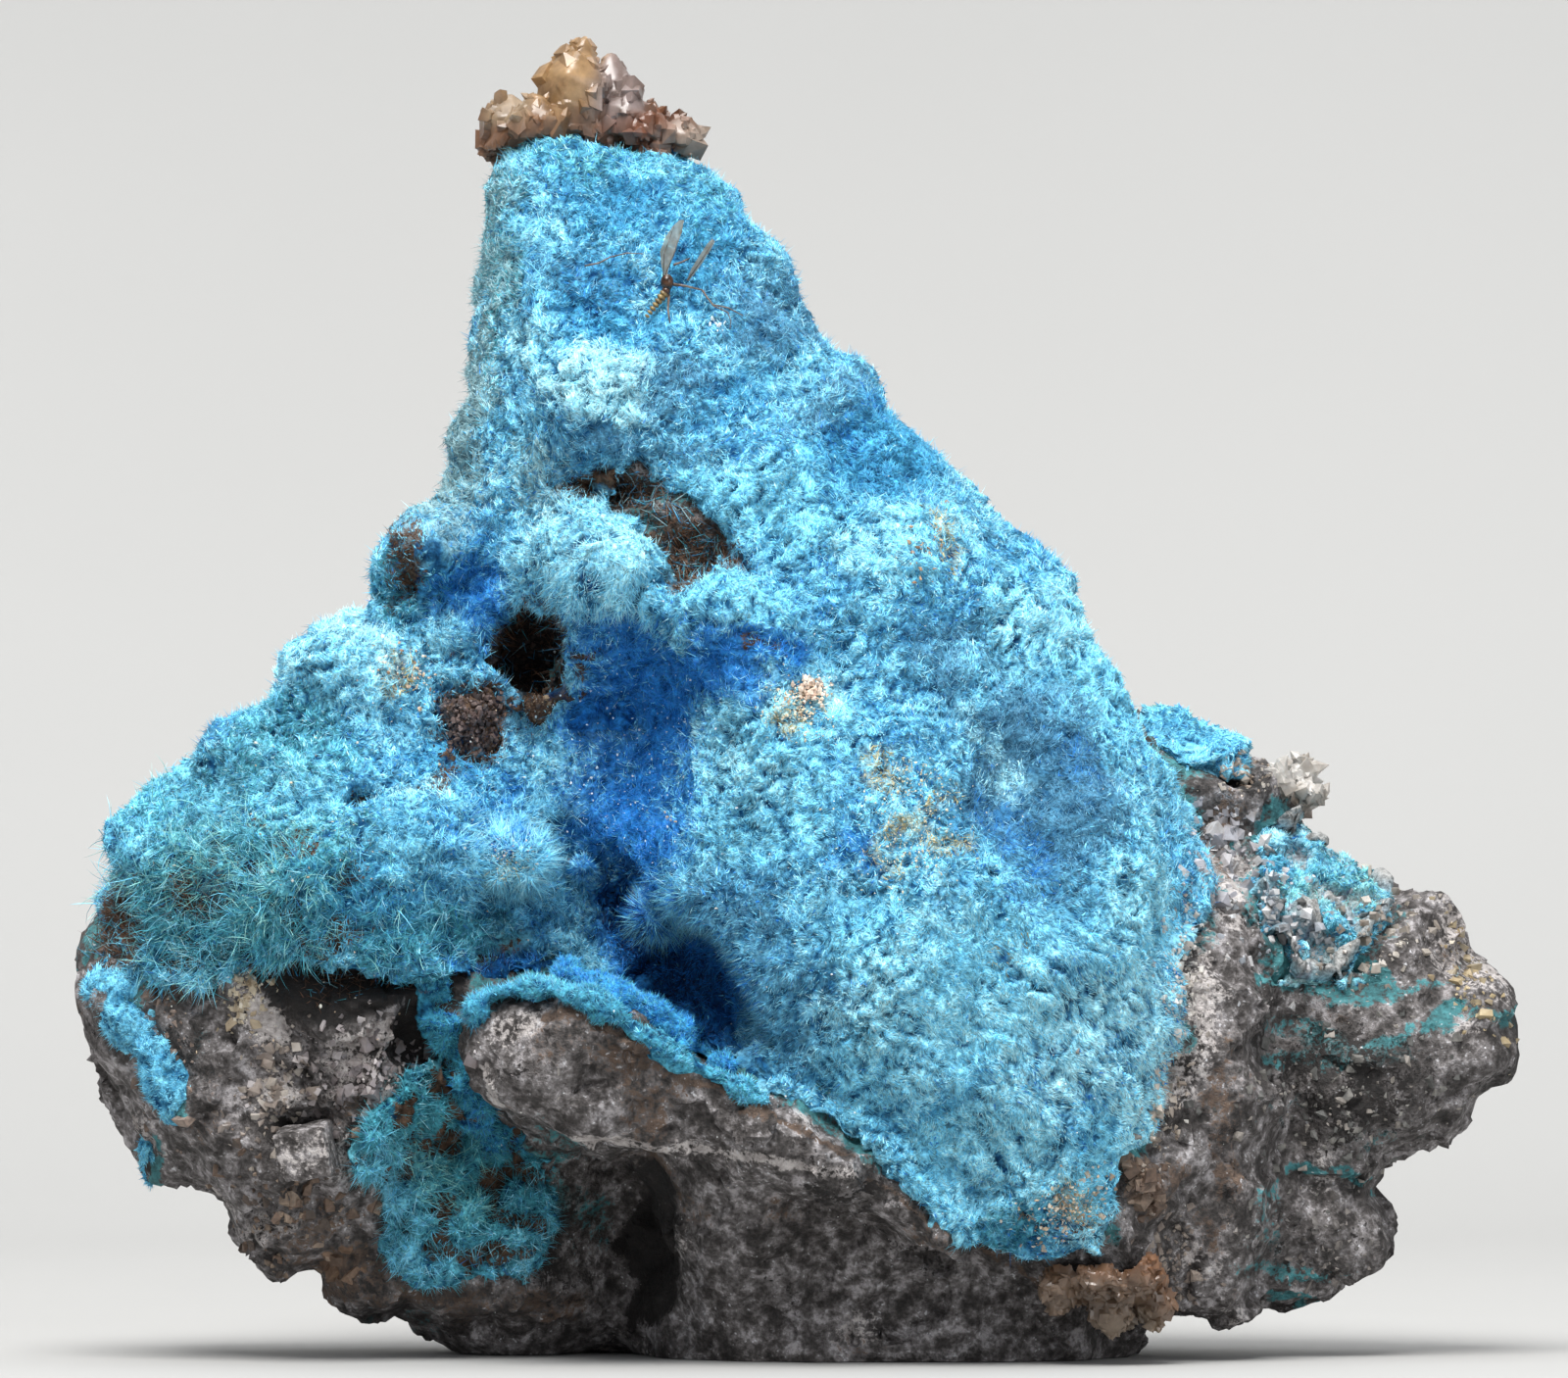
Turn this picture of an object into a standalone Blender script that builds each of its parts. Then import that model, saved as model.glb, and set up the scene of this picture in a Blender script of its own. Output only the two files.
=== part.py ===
"""Cyanotrichite specimen: a spire of grey vein rock under a velvet of blue needle crystals.

The rock is one broken piece: the spire, a shoulder on its left, a curled ledge with a pocket behind it,
and a blocky flank on its right. Crusts of needles lie on it, quartz crystals stand on the tip, on the
right peak and at the lower corner, and a gnat is caught in the velvet.

Sizes are in millimetres and are turned into metres where a mesh is made. X runs to the viewer's right,
+Y away from the viewer and +Z up. The origin is on the flat at the foot of the rock.
"""

import math

import bmesh
import bpy
import numpy as np
from mathutils import Matrix, Vector, noise
from mathutils.bvhtree import BVHTree

MM = 0.001

# The skin of the whole specimen is fused at this voxel size, then thinned to this many triangles.
ROUGH_VOXEL = 0.42
CUTTER_VOXEL = 0.25
SKIN_TRIANGLES = 4400
SOFTENING = 4
WEARING = 4
RING_POINTS = 28
SQUARENESS = 2.6
LUMP_DETAIL = 3

# Uneven rock, as layers of bumps: how far apart they are and how high they rise.
CRAGS = [(3.4, 0.35), (1.5, 0.30), (0.9, 0.10)]
CRAG_SHIFT = 40.0

# A crust rises this far over the skin, is this thick where whole, and thins out over the taper to its edge.
CRUST_RISE = 0.15
CRUST_THICKNESS = 0.5
CRUST_TAPER = 1.3
GAP = 0.3
CRUST_SPACING = 0.5
SLIVER = 0.002

# Upright blocks, as sections from the foot up: height, left, right, front, back.
SPIRE = [
    (2.0, 6.4, 9.6, -3.8, 6.0),
    (3.0, 4.4, 9.8, -4.8, 7.5),
    (4.7, 2.0, 10.2, -5.6, 8.5),
    (7.2, -0.8, 10.6, -6.2, 9.2),
    (9.5, -3.2, 10.8, -6.4, 9.8),
    (12.0, -4.6, 10.6, -6.0, 10.0),
    (14.5, -6.3, 10.0, -5.4, 10.0),
    (17.0, -6.8, 8.7, -4.7, 9.6),
    (20.0, -8.4, 6.7, -3.9, 9.0),
    (22.3, -8.9, 4.6, -3.0, 8.4),
    (24.5, -8.2, 2.5, -2.2, 7.8),
    (26.5, -8.0, 0.8, -1.4, 7.2),
    (28.5, -7.9, -0.5, -0.4, 6.8),
    (30.0, -7.8, -1.4, 0.6, 6.2),
    (31.0, -7.0, -2.0, 1.4, 5.4),
]
CORE = [
    (-1.0, -3.4, 8.6, -1.6, 9.2),
    (2.0, -3.8, 9.6, -2.4, 9.8),
    (4.6, -4.2, 10.2, -3.8, 10.2),
    (6.6, -4.6, 10.6, -5.0, 10.3),
    (8.2, -5.0, 10.8, -4.2, 10.4),
    (12.0, -6.0, 10.4, -3.0, 10.2),
]
FLANK = [
    (4.6, 8.5, 15.0, 1.2, 5.4),
    (5.8, 8.5, 17.6, 0.2, 7.0),
    (7.6, 8.5, 18.5, 0.0, 7.6),
    (9.6, 8.5, 18.0, 0.4, 7.8),
    (11.4, 8.5, 16.6, 1.2, 7.6),
    (12.8, 8.5, 14.8, 2.2, 7.2),
    (13.6, 9.0, 13.4, 3.2, 6.6),
]
PEAK = [
    (13.0, 8.0, 13.2, 3.0, 8.8),
    (15.2, 8.0, 13.1, 3.2, 8.6),
    (16.1, 8.2, 12.2, 3.8, 8.2),
    (16.8, 8.6, 11.2, 4.4, 7.8),
]
FLANK_STRIP = [
    (1.0, 9.0, 12.0, -1.2, 4.4),
    (3.0, 8.6, 12.4, -2.4, 5.6),
    (6.5, 8.6, 12.6, -2.8, 6.0),
    (9.5, 8.6, 12.5, -2.4, 6.0),
    (12.4, 8.6, 11.8, -0.8, 6.0),
]
FLANK_LOBE = [
    (1.2, 12.2, 14.2, 1.8, 4.2),
    (2.2, 11.6, 15.2, 0.8, 5.2),
    (3.2, 11.4, 15.6, 0.5, 5.6),
    (4.4, 11.4, 14.9, 0.9, 5.4),
    (5.2, 11.6, 13.8, 1.6, 5.0),
]

# The shoulder lies along X: position, lowest, highest, front, back.
SHOULDER = [
    (-17.8, 8.6, 10.6, 1.0, 3.6),
    (-17.2, 6.6, 12.9, -1.0, 5.4),
    (-15.6, 5.0, 14.9, -2.8, 7.2),
    (-14.0, 3.6, 16.0, -3.8, 8.2),
    (-12.2, 2.3, 17.3, -4.2, 8.8),
    (-10.4, 1.4, 19.6, -4.0, 9.2),
    (-8.6, 1.0, 21.2, -3.4, 9.4),
    (-6.6, 0.8, 21.0, -2.2, 9.4),
    (-4.6, 2.2, 20.0, 0.6, 9.4),
]

# Lumps: centre, radii, tilt in degrees about the line of sight.
LEDGE = [
    ((-6.5, -4.6, 8.0), (1.5, 1.7, 1.9), 0),
    ((-4.8, -4.9, 7.7), (2.1, 1.8, 2.1), 0),
    ((-2.9, -4.9, 6.9), (2.0, 1.8, 1.8), 20),
    ((-0.9, -4.7, 5.9), (2.1, 1.8, 1.5), 28),
    ((1.2, -4.4, 4.8), (2.2, 2.0, 1.4), 30),
    ((3.4, -4.1, 3.6), (2.2, 2.2, 1.2), 30),
]
LEDGE_ROOT = [
    ((-6.0, -2.6, 7.6), (2.0, 2.8, 2.2), 0),
    ((-4.4, -2.4, 6.9), (2.0, 2.8, 2.0), 0),
]
SHOULDER_KNOBS = [
    ((-9.7, -0.4, 20.6), (1.3, 2.2, 1.1), 0),
    ((-11.6, -0.8, 17.6), (1.4, 2.4, 1.2), 0),
    ((-13.9, -0.4, 15.6), (1.5, 2.6, 1.1), -15),
    ((-16.0, 0.2, 13.2), (1.5, 2.6, 1.2), -30),
    ((-15.6, 2.4, 5.2), (1.3, 2.2, 1.0), 0),
    ((-16.9, 3.4, 8.0), (1.2, 2.2, 2.2), 0),
]
FEET = [
    ((-6.6, 5.0, 1.8), (3.4, 3.6, 2.3), 0),
    ((-3.6, 5.6, 3.2), (2.6, 3.6, 3.8), 0),
]

# Cuts: the pocket behind the ledge, the cleft under its left end and the hole beside the seam.
POCKET = [
    ((-4.1, -3.0, 11.5), (0.8, 3.8, 1.3), -8),
    ((-3.0, -4.2, 10.0), (1.45, 4.4, 2.0), -36),
    ((-1.9, -4.6, 8.8), (1.25, 3.6, 1.7), -46),
]
CLEFT = [
    ((-3.7, -3.0, 3.1), (0.75, 4.4, 2.2), -12),
]
SEAM_HOLE = [
    ((-6.6, -1.2, 18.2), (0.7, 3.0, 1.2), 10),
]

# Soft pushes on the surface: centre, reach, shift.
STROKES = [
    # the deep blue valley and the slope left of the pocket
    ((-4.0, -4.6, 15.8), (2.2, 3.0, 3.2), (0.0, 3.0, 0.0)),
    ((-6.6, -4.0, 10.9), (1.6, 2.0, 1.2), (0.0, 1.4, 0.0)),
    ((-8.4, -3.0, 16.8), (1.7, 2.5, 2.4), (0.2, 1.6, 0.0)),
    # the lobes above the valley and the two windows over them
    ((-5.0, -4.0, 19.7), (1.7, 2.0, 1.8), (0.0, -1.2, -0.2)),
    ((-1.5, -4.2, 19.0), (1.5, 2.0, 1.1), (0.0, -0.8, 0.0)),
    ((-4.5, -3.4, 22.1), (1.7, 1.8, 0.9), (0.0, 0.9, 0.0)),
    ((-2.3, -3.6, 20.7), (1.2, 1.5, 0.9), (0.0, 1.1, 0.0)),
    ((-4.8, -2.4, 24.7), (1.6, 2.0, 1.4), (0.0, -0.8, 0.0)),
    # the lip of the slab beside the valley, its swells and its shallow trough
    ((-1.2, -5.0, 16.2), (1.5, 2.0, 2.6), (-0.4, -0.9, 0.0)),
    ((2.2, -6.0, 12.2), (3.0, 3.0, 3.0), (0.0, -0.7, 0.0)),
    ((5.6, -5.5, 14.3), (1.8, 3.0, 3.2), (0.0, 0.6, 0.0)),
    ((8.4, -4.5, 12.3), (1.8, 3.0, 3.0), (0.0, -0.6, 0.0)),
    ((3.2, -4.0, 20.6), (2.2, 2.5, 2.0), (0.0, -0.5, 0.2)),
    # the round tufts on either side of the pocket
    ((-6.5, -4.0, 12.7), (1.3, 1.6, 1.2), (0.0, -1.4, 0.0)),
    ((-2.9, -5.0, 11.6), (0.9, 1.2, 0.9), (-0.6, -0.6, 0.0)),
    # the shoulder's belly, the broken rock under it and the hollow at its foot
    ((-13.0, -4.0, 12.6), (2.8, 3.0, 1.8), (0.0, -0.9, -0.1)),
    ((-12.3, -4.0, 8.0), (2.6, 3.0, 1.6), (0.0, 1.3, 0.0)),
    ((-11.0, -3.5, 3.0), (3.0, 3.0, 2.0), (0.2, 1.4, 0.2)),
    ((-7.4, -3.0, 5.6), (1.8, 3.0, 2.8), (0.0, 2.4, 0.0)),
    # the groove between the slab and the flank
    ((10.9, -1.8, 6.8), (0.7, 1.6, 3.8), (0.0, 0.6, 0.0)),
    ((12.9, 0.4, 6.6), (0.7, 1.4, 2.2), (0.0, 1.0, 0.0)),
]

# Flat broken faces: a point on each, the way it faces and how far it reaches.
CHIPS = [
    ((-8.0, 0.6, 26.5), (-0.80, -0.60, 0.0), 6.0),
    ((-4.6, -5.9, 7.2), (0.05, -0.92, -0.36), 3.6),
    ((-12.2, -2.9, 7.2), (-0.15, -0.95, -0.20), 2.4),
    ((-13.4, -1.4, 4.2), (-0.45, -0.45, -0.75), 3.6),
    ((0.0, 8.2, 15.0), (0.05, 1.00, 0.12), 7.0),
    ((-11.0, 7.0, 13.0), (-0.45, 0.85, 0.25), 6.0),
    ((-4.0, 6.0, 27.0), (-0.10, 0.92, 0.36), 5.5),
    ((6.6, 7.4, 18.0), (0.62, 0.70, 0.34), 5.0),
    ((16.0, 0.9, 9.0), (0.40, -0.88, 0.25), 2.8),
    ((14.2, 1.6, 12.0), (0.25, -0.75, 0.60), 2.2),
    ((15.4, 6.4, 8.0), (0.45, 0.85, 0.15), 3.6),
    ((2.2, -2.4, 3.4), (0.0, -0.92, -0.40), 3.4),
]

# Where each crust lies, as an outline in the view along +Y: across and up.
BLUE_CRUST = [
    (-9.8, 24.0), (-9.6, 30.4), (-7.5, 30.9), (-6.0, 31.3), (-4.7, 31.2), (-4.1, 30.6), (-3.1, 30.6),
    (-1.8, 31.5), (0.8, 30.2), (3.8, 26.2), (6.5, 23.2), (9.5, 19.5), (11.9, 15.4), (11.1, 13.2),
    (10.9, 11.0), (10.1, 10.1), (10.4, 8.4), (9.7, 7.2), (9.9, 6.0), (8.5, 5.2), (8.9, 3.7), (8.2, 2.7),
    (6.5, 2.5), (5.0, 3.0), (3.7, 4.2), (2.2, 5.6), (1.3, 6.5), (-0.5, 7.3), (-1.6, 7.9), (-2.8, 8.8),
    (-4.0, 9.5), (-5.0, 10.1), (-6.2, 10.2), (-7.6, 9.9), (-8.3, 9.4), (-9.2, 9.8), (-10.4, 9.9),
    (-12.2, 10.0), (-14.0, 9.9), (-15.2, 9.4), (-14.9, 8.0), (-15.1, 6.8), (-16.0, 7.0), (-16.6, 8.6),
    (-17.0, 10.4), (-18.5, 12.6), (-17.0, 15.0), (-13.5, 18.0), (-11.0, 21.6),
]
FOOT_CRUST = [
    (-9.3, 8.6), (-8.9, 8.4), (-8.6, 7.2), (-7.7, 5.8), (-5.9, 4.9), (-5.4, 3.6), (-6.2, 2.2), (-8.6, 1.7),
    (-10.2, 1.6), (-10.5, 2.6), (-9.6, 3.8), (-10.8, 5.0), (-10.3, 6.4), (-9.6, 7.1),
]
PEAK_CRUST = [(8.8, 17.8), (11.6, 17.6), (12.4, 15.8), (11.4, 15.3), (11.1, 14.3), (10.3, 14.1), (9.4, 15.4)]
FLANK_CRUST = [
    (12.0, 13.9), (14.0, 14.2), (15.4, 13.0), (15.9, 11.6), (15.0, 10.6), (16.0, 9.9), (14.6, 9.4),
    (12.8, 9.7), (12.5, 10.7), (12.1, 12.0),
]

# Bare windows in the blue crust, where the brown rock shows, and the flank that it stops at: centre, radii.
BLUE_WINDOWS = [
    ((-4.3, -2.0, 22.2), (1.5, 4.0, 0.6)),
    ((-2.3, -2.0, 20.7), (1.2, 4.0, 0.9)),
    ((-8.0, -2.0, 16.3), (0.8, 4.0, 0.9)),
    ((-6.55, -1.0, 18.2), (0.75, 4.0, 1.2)),
    ((11.5, 6.4, 15.4), (3.9, 4.2, 3.6)),
]

# Each crust: its outline, its windows, its nearest Y, and the greatest Y of a normal under it, where it
# wraps towards the back.
CRUSTS = {
    "blue_crust": (BLUE_CRUST, BLUE_WINDOWS, -9.0, 0.42),
    "foot_crust": (FOOT_CRUST, [], -9.0, 0.2),
    "peak_crust": (PEAK_CRUST, [], 3.0, 0.4),
    "flank_crust": (FLANK_CRUST, [], 0.0, 0.2),
}
WRAP_SOFTNESS = 3.0

# Quartz crystals: root, length, half-width, and the way each points.
TIP_QUARTZ = [
    ((-5.7, 3.2, 31.1), 2.8, 0.85, (0.22, -0.10, 1.0)),
    ((-7.0, 3.4, 30.7), 1.7, 0.65, (-0.05, 0.0, 1.0)),
    ((-4.5, 3.6, 31.1), 2.3, 0.60, (0.02, 0.10, 1.0)),
    ((-4.2, 3.1, 31.1), 1.5, 0.50, (0.20, -0.20, 1.0)),
    ((-6.3, 2.6, 31.0), 1.3, 0.60, (-0.05, -0.25, 1.0)),
    ((-3.5, 2.8, 31.0), 1.0, 0.45, (0.10, -0.30, 1.0)),
    ((-2.9, 2.9, 30.7), 1.1, 0.45, (0.30, -0.10, 1.0)),
    ((-5.4, 4.7, 30.9), 1.9, 0.75, (-0.10, 0.45, 1.0)),
    ((-6.5, 4.5, 30.7), 1.4, 0.60, (-0.40, 0.40, 1.0)),
    ((-3.7, 4.2, 30.8), 1.6, 0.55, (0.20, 0.40, 1.0)),
]
PEAK_QUARTZ = [
    ((12.4, 5.4, 14.6), 1.5, 0.50, (0.05, -0.20, 1.0)),
    ((13.1, 5.8, 14.2), 1.4, 0.45, (0.35, 0.05, 1.0)),
    ((13.2, 5.0, 14.0), 1.0, 0.40, (0.70, -0.50, 0.6)),
    ((12.3, 6.6, 14.6), 1.4, 0.45, (0.10, 0.50, 1.0)),
    ((12.6, 4.6, 14.4), 0.9, 0.38, (0.20, -0.90, 0.6)),
]
CORNER_QUARTZ = [
    ((8.2, -3.0, 2.2), 1.7, 0.60, (0.05, -0.20, -1.0)),
    ((7.2, -3.2, 2.5), 1.4, 0.55, (-0.35, -0.35, -1.0)),
    ((9.1, -2.6, 2.2), 1.5, 0.55, (0.35, -0.15, -1.0)),
    ((8.8, -3.4, 2.7), 1.2, 0.50, (0.40, -0.80, -0.6)),
    ((7.9, -3.8, 2.6), 1.1, 0.45, (-0.10, -0.90, -0.7)),
    ((8.5, -1.9, 2.0), 1.4, 0.55, (0.10, 0.30, -1.0)),
]
# The grown-together foot of each cluster, as lumps.
TIP_FOOT = [((-5.9, 3.6, 31.0), (1.9, 1.7, 0.9), 0), ((-3.9, 3.6, 30.9), (1.5, 1.3, 0.8), 0)]
PEAK_FOOT = [((12.6, 5.5, 14.3), (1.0, 1.4, 0.8), 0)]
CORNER_FOOT = [((8.2, -2.8, 2.1), (1.5, 1.4, 0.7), 0)]

# The pointed end takes this share of a crystal's length and narrows to this share of its width. Each crystal
# is turned about its own axis by its length times the spin, in radians, so that no two stand alike.
CRYSTAL_SIDES = 6
POINT_SHARE = 0.36
POINT_TIP = 0.1
CRYSTAL_SPIN = 7.0
ROOT_DEPTH = 0.5
FOOT_DETAIL = 2

# A square crystal stands out of the broken rock on the left: where, how far, half sizes and turns in degrees.
BLOCK_AT = (-12.1, 5.4)
BLOCK_PROUD = 0.3
BLOCK_HALF = (0.72, 0.9, 0.66)
BLOCK_TURNS = (8.0, -6.0, 10.0)

# The gnat lies head up on the slope: each part across and up, with its radii and tilt. Legs run from point
# to point, and the whole leans back as the velvet under it does.
GNAT_LUMPS = [
    ((-2.98, 27.45), (0.16, 0.15, 0.18), 20),
    ((-2.90, 27.68), (0.09, 0.09, 0.10), 0),
    ((-3.18, 27.03), (0.13, 0.13, 0.38), 30),
    ((-2.82, 28.25), (0.19, 0.05, 0.82), 18),
    ((-2.38, 27.98), (0.12, 0.05, 0.78), 46),
]
GNAT_LEGS = [
    [(-2.95, 27.45), (-2.20, 27.30), (-1.85, 26.95), (-1.10, 26.65)],
    [(-2.95, 27.40), (-2.05, 27.15), (-1.50, 26.80), (-1.38, 26.30)],
    [(-2.95, 27.40), (-2.90, 26.95), (-2.88, 26.55)],
    [(-2.92, 27.55), (-2.35, 27.95)],
]
GNAT_LEG_RADIUS = 0.05
GNAT_LEG_SIDES = 8
GNAT_LEAN = 0.5
GNAT_HEIGHT = 0.2
GNAT_VOXEL = 0.04
GNAT_TRIANGLES = 420

# A Y in front of the whole specimen, and how near the foot's plane a point counts as on it, in metres.
VIEWER = -30.0
FOOT_TOLERANCE = 1e-6

# The material of each piece, and the colour and roughness of each material.
PIECE_MATERIALS = {
    "host_rock": "vein_rock",
    "blue_crust": "blue_velvet",
    "foot_crust": "teal_velvet",
    "peak_crust": "teal_velvet",
    "flank_crust": "teal_velvet",
    "tip_quartz": "honey_quartz",
    "peak_quartz": "clear_quartz",
    "corner_quartz": "brown_quartz",
    "gnat": "gnat_brown",
}
MATERIALS = {
    "vein_rock": ((0.22, 0.19, 0.17), 0.85),
    "blue_velvet": ((0.06, 0.35, 0.62), 0.9),
    "teal_velvet": ((0.07, 0.42, 0.50), 0.9),
    "honey_quartz": ((0.55, 0.36, 0.18), 0.35),
    "clear_quartz": ((0.75, 0.72, 0.66), 0.2),
    "brown_quartz": ((0.40, 0.28, 0.18), 0.4),
    "gnat_brown": ((0.16, 0.10, 0.04), 0.5),
}


def ring(centre, half):
    """A rounded rectangle as two columns, once round its centre."""
    turn = np.linspace(0.0, 2.0 * math.pi, RING_POINTS, endpoint=False)
    cosine, sine = np.cos(turn), np.sin(turn)
    power = 2.0 / SQUARENESS
    across = centre[0] + half[0] * np.sign(cosine) * np.abs(cosine) ** power
    along = centre[1] + half[1] * np.sign(sine) * np.abs(sine) ** power
    return across, along


def loft(bm, rings):
    """Joins rings of points into one closed block, with a face over each end."""
    rows = [[bm.verts.new(Vector(point) * MM) for point in points] for points in rings]
    for low, high in zip(rows, rows[1:]):
        for i, corner in enumerate(low):
            j = (i + 1) % len(low)
            bm.faces.new((corner, low[j], high[j], high[i]))
    bm.faces.new(list(reversed(rows[0])))
    bm.faces.new(rows[-1])


def upright_block(bm, sections):
    rings = []
    for height, left, right, front, back in sections:
        x, y = ring(((left + right) / 2, (front + back) / 2), ((right - left) / 2, (back - front) / 2))
        rings.append(np.column_stack([x, y, np.full_like(x, height)]))
    loft(bm, rings)


def lying_block(bm, sections):
    rings = []
    for at, low, high, front, back in sections:
        y, z = ring(((front + back) / 2, (low + high) / 2), ((back - front) / 2, (high - low) / 2))
        rings.append(np.column_stack([np.full_like(y, at), y, z]))
    loft(bm, rings)


def lump(bm, centre, radii, tilt, detail=LUMP_DETAIL):
    place = (
        Matrix.Translation(Vector(centre) * MM)
        @ Matrix.Rotation(math.radians(tilt), 4, "Y")
        @ Matrix.Diagonal((*(Vector(radii) * MM), 1.0))
    )
    bmesh.ops.create_icosphere(bm, subdivisions=detail, radius=1.0, matrix=place)


def new_object(name, bm, collection):
    bmesh.ops.recalc_face_normals(bm, faces=bm.faces)
    mesh = bpy.data.meshes.new(name)
    bm.to_mesh(mesh)
    bm.free()
    return place_mesh(name, mesh, collection)


def place_mesh(name, mesh, collection):
    obj = bpy.data.objects.new(name, mesh)
    collection.objects.link(obj)
    return obj


def as_helper(obj):
    obj.hide_render = True
    obj.display_type = "WIRE"
    return obj


def evaluated_mesh(obj):
    bpy.context.view_layer.update()
    graph = bpy.context.evaluated_depsgraph_get()
    return bpy.data.meshes.new_from_object(obj.evaluated_get(graph), depsgraph=graph)


def add_remesh(obj, voxel):
    remesh = obj.modifiers.new("fuse", "REMESH")
    remesh.mode = "VOXEL"
    remesh.voxel_size = voxel * MM


def add_boolean(obj, other, operation):
    boolean = obj.modifiers.new(other.name, "BOOLEAN")
    boolean.operation = operation
    boolean.object = other
    boolean.use_self = True


def add_thinning(obj, triangles):
    full = evaluated_mesh(obj)
    full.calc_loop_triangles()
    thin = obj.modifiers.new("thin", "DECIMATE")
    thin.ratio = triangles / len(full.loop_triangles)


def cutter(name, lumps, helpers):
    bm = bmesh.new()
    for centre, radii, tilt in lumps:
        lump(bm, centre, radii, tilt)
    obj = as_helper(new_object(name, bm, helpers))
    add_remesh(obj, CUTTER_VOXEL)
    return obj


def rough_form(helpers):
    """All the blocks and lumps of the specimen fused into one skin, with the hollows cut out."""
    bm = bmesh.new()
    for sections in (SPIRE, CORE, FLANK, PEAK, FLANK_STRIP, FLANK_LOBE):
        upright_block(bm, sections)
    lying_block(bm, SHOULDER)
    for centre, radii, tilt in LEDGE + LEDGE_ROOT + SHOULDER_KNOBS + FEET:
        lump(bm, centre, radii, tilt)
    obj = as_helper(new_object("rough_form", bm, helpers))
    add_remesh(obj, ROUGH_VOXEL)
    for name, lumps in (("pocket_cutter", POCKET), ("cleft_cutter", CLEFT), ("seam_hole_cutter", SEAM_HOLE)):
        add_boolean(obj, cutter(name, lumps, helpers), "DIFFERENCE")
    add_remesh(obj, ROUGH_VOXEL)
    soften = obj.modifiers.new("soften", "SMOOTH")
    soften.iterations = SOFTENING
    return obj


def points_of(mesh):
    points = np.empty(len(mesh.vertices) * 3, np.float32)
    mesh.vertices.foreach_get("co", points)
    return points.reshape(-1, 3).astype(float) / MM


def normals_of(mesh):
    normals = np.empty(len(mesh.vertices) * 3, np.float32)
    mesh.vertices.foreach_get("normal", normals)
    return normals.reshape(-1, 3).astype(float)


def edges_of(mesh):
    edges = np.empty(len(mesh.edges) * 2, np.int32)
    mesh.edges.foreach_get("vertices", edges)
    return edges.reshape(-1, 2)


def set_points(mesh, points):
    mesh.vertices.foreach_set("co", (points * MM).astype(np.float32).ravel())
    mesh.update()


def push(points, strokes):
    """Moves the surface by each stroke, most at its centre."""
    for centre, reach, shift in strokes:
        nearness = np.exp(-(((points - centre) / reach) ** 2).sum(axis=1))
        points = points + nearness[:, None] * shift
    return points


def chip(points, chips):
    """Flattens what stands proud of each broken face, within its reach."""
    for centre, facing, reach in chips:
        facing = np.array(facing) / np.linalg.norm(facing)
        proud = np.maximum((points - centre) @ facing, 0.0)
        nearness = np.exp(-(((points - centre) / reach) ** 2).sum(axis=1) ** 2)
        points = points - (proud * nearness)[:, None] * facing
    return points


def crags(points, normals):
    """Uneven rock: soft swells with smaller knobs on them."""
    heights = np.zeros(len(points))
    for layer, (spacing, height) in enumerate(CRAGS):
        places = (points + (0.0, CRAG_SHIFT * layer, 0.0)) / spacing
        heights += [height * noise.noise(Vector(place)) for place in places]
    return points + normals * heights[:, None]


def finished_skin(helpers):
    """The whole outer skin of the specimen, thinned to the triangles that the pieces share."""
    mesh = evaluated_mesh(rough_form(helpers))
    points = chip(push(points_of(mesh), STROKES), CHIPS)
    set_points(mesh, points)
    set_points(mesh, crags(points, normals_of(mesh)))
    skin = as_helper(place_mesh("skin", mesh, helpers))
    add_thinning(skin, SKIN_TRIANGLES)
    return evaluated_mesh(skin)


def inside(outline, points):
    """How far each point lies inside an outline in the view along +Y, in mm, and below 0 outside it."""
    x, z = points[:, 0], points[:, 2]
    within = np.zeros(len(points), bool)
    nearest = np.full(len(points), np.inf)
    for (x0, z0), (x1, z1) in zip(outline, outline[1:] + outline[:1]):
        if z0 != z1:
            within ^= ((z0 > z) != (z1 > z)) & (x < (x1 - x0) * (z - z0) / (z1 - z0) + x0)
        along = ((x - x0) * (x1 - x0) + (z - z0) * (z1 - z0)) / ((x1 - x0) ** 2 + (z1 - z0) ** 2)
        along = np.clip(along, 0.0, 1.0)
        nearest = np.minimum(nearest, np.hypot(x - x0 - along * (x1 - x0), z - z0 - along * (z1 - z0)))
    return np.where(within, nearest, -nearest)


def cover(points, normals, outline, windows, nearest, wrap):
    """How far each point lies inside a crust's edge, in mm, and below 0 outside it."""
    depth = np.minimum(inside(outline, points), points[:, 1] - nearest)
    for centre, radii in windows:
        out = np.linalg.norm((points - centre) / radii, axis=1) - 1.0
        depth = np.minimum(depth, out * min(radii))
    return np.minimum(depth, WRAP_SOFTNESS * (wrap - normals[:, 1]))


def fit_edge(points, depth, edges, held):
    """Slides the nearer end of each edge that crosses a crust's edge onto it, so that the edge runs smooth."""
    for a, b in edges:
        if depth[a] * depth[b] >= 0.0:
            continue
        share = depth[a] / (depth[a] - depth[b])
        mover = a if share < 0.5 else b
        if mover in held:
            mover = b if mover == a else a
        if mover in held:
            continue
        points[mover] = points[a] + share * (points[b] - points[a])
        depth[mover] = 0.0
        held.add(mover)


def crust_shares(skin):
    """Fits the skin to the edge of each crust and gives each point's depth inside each crust."""
    points, normals, edges = points_of(skin), normals_of(skin), edges_of(skin)
    held = set()
    depths = {}
    taken = np.full(len(points), -np.inf)
    for name, growth in CRUSTS.items():
        depths[name] = np.minimum(cover(points, normals, *growth), -taken - CRUST_SPACING)
        fit_edge(points, depths[name], edges, held)
        taken = np.maximum(taken, depths[name])
    set_points(skin, points)
    return depths


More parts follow.
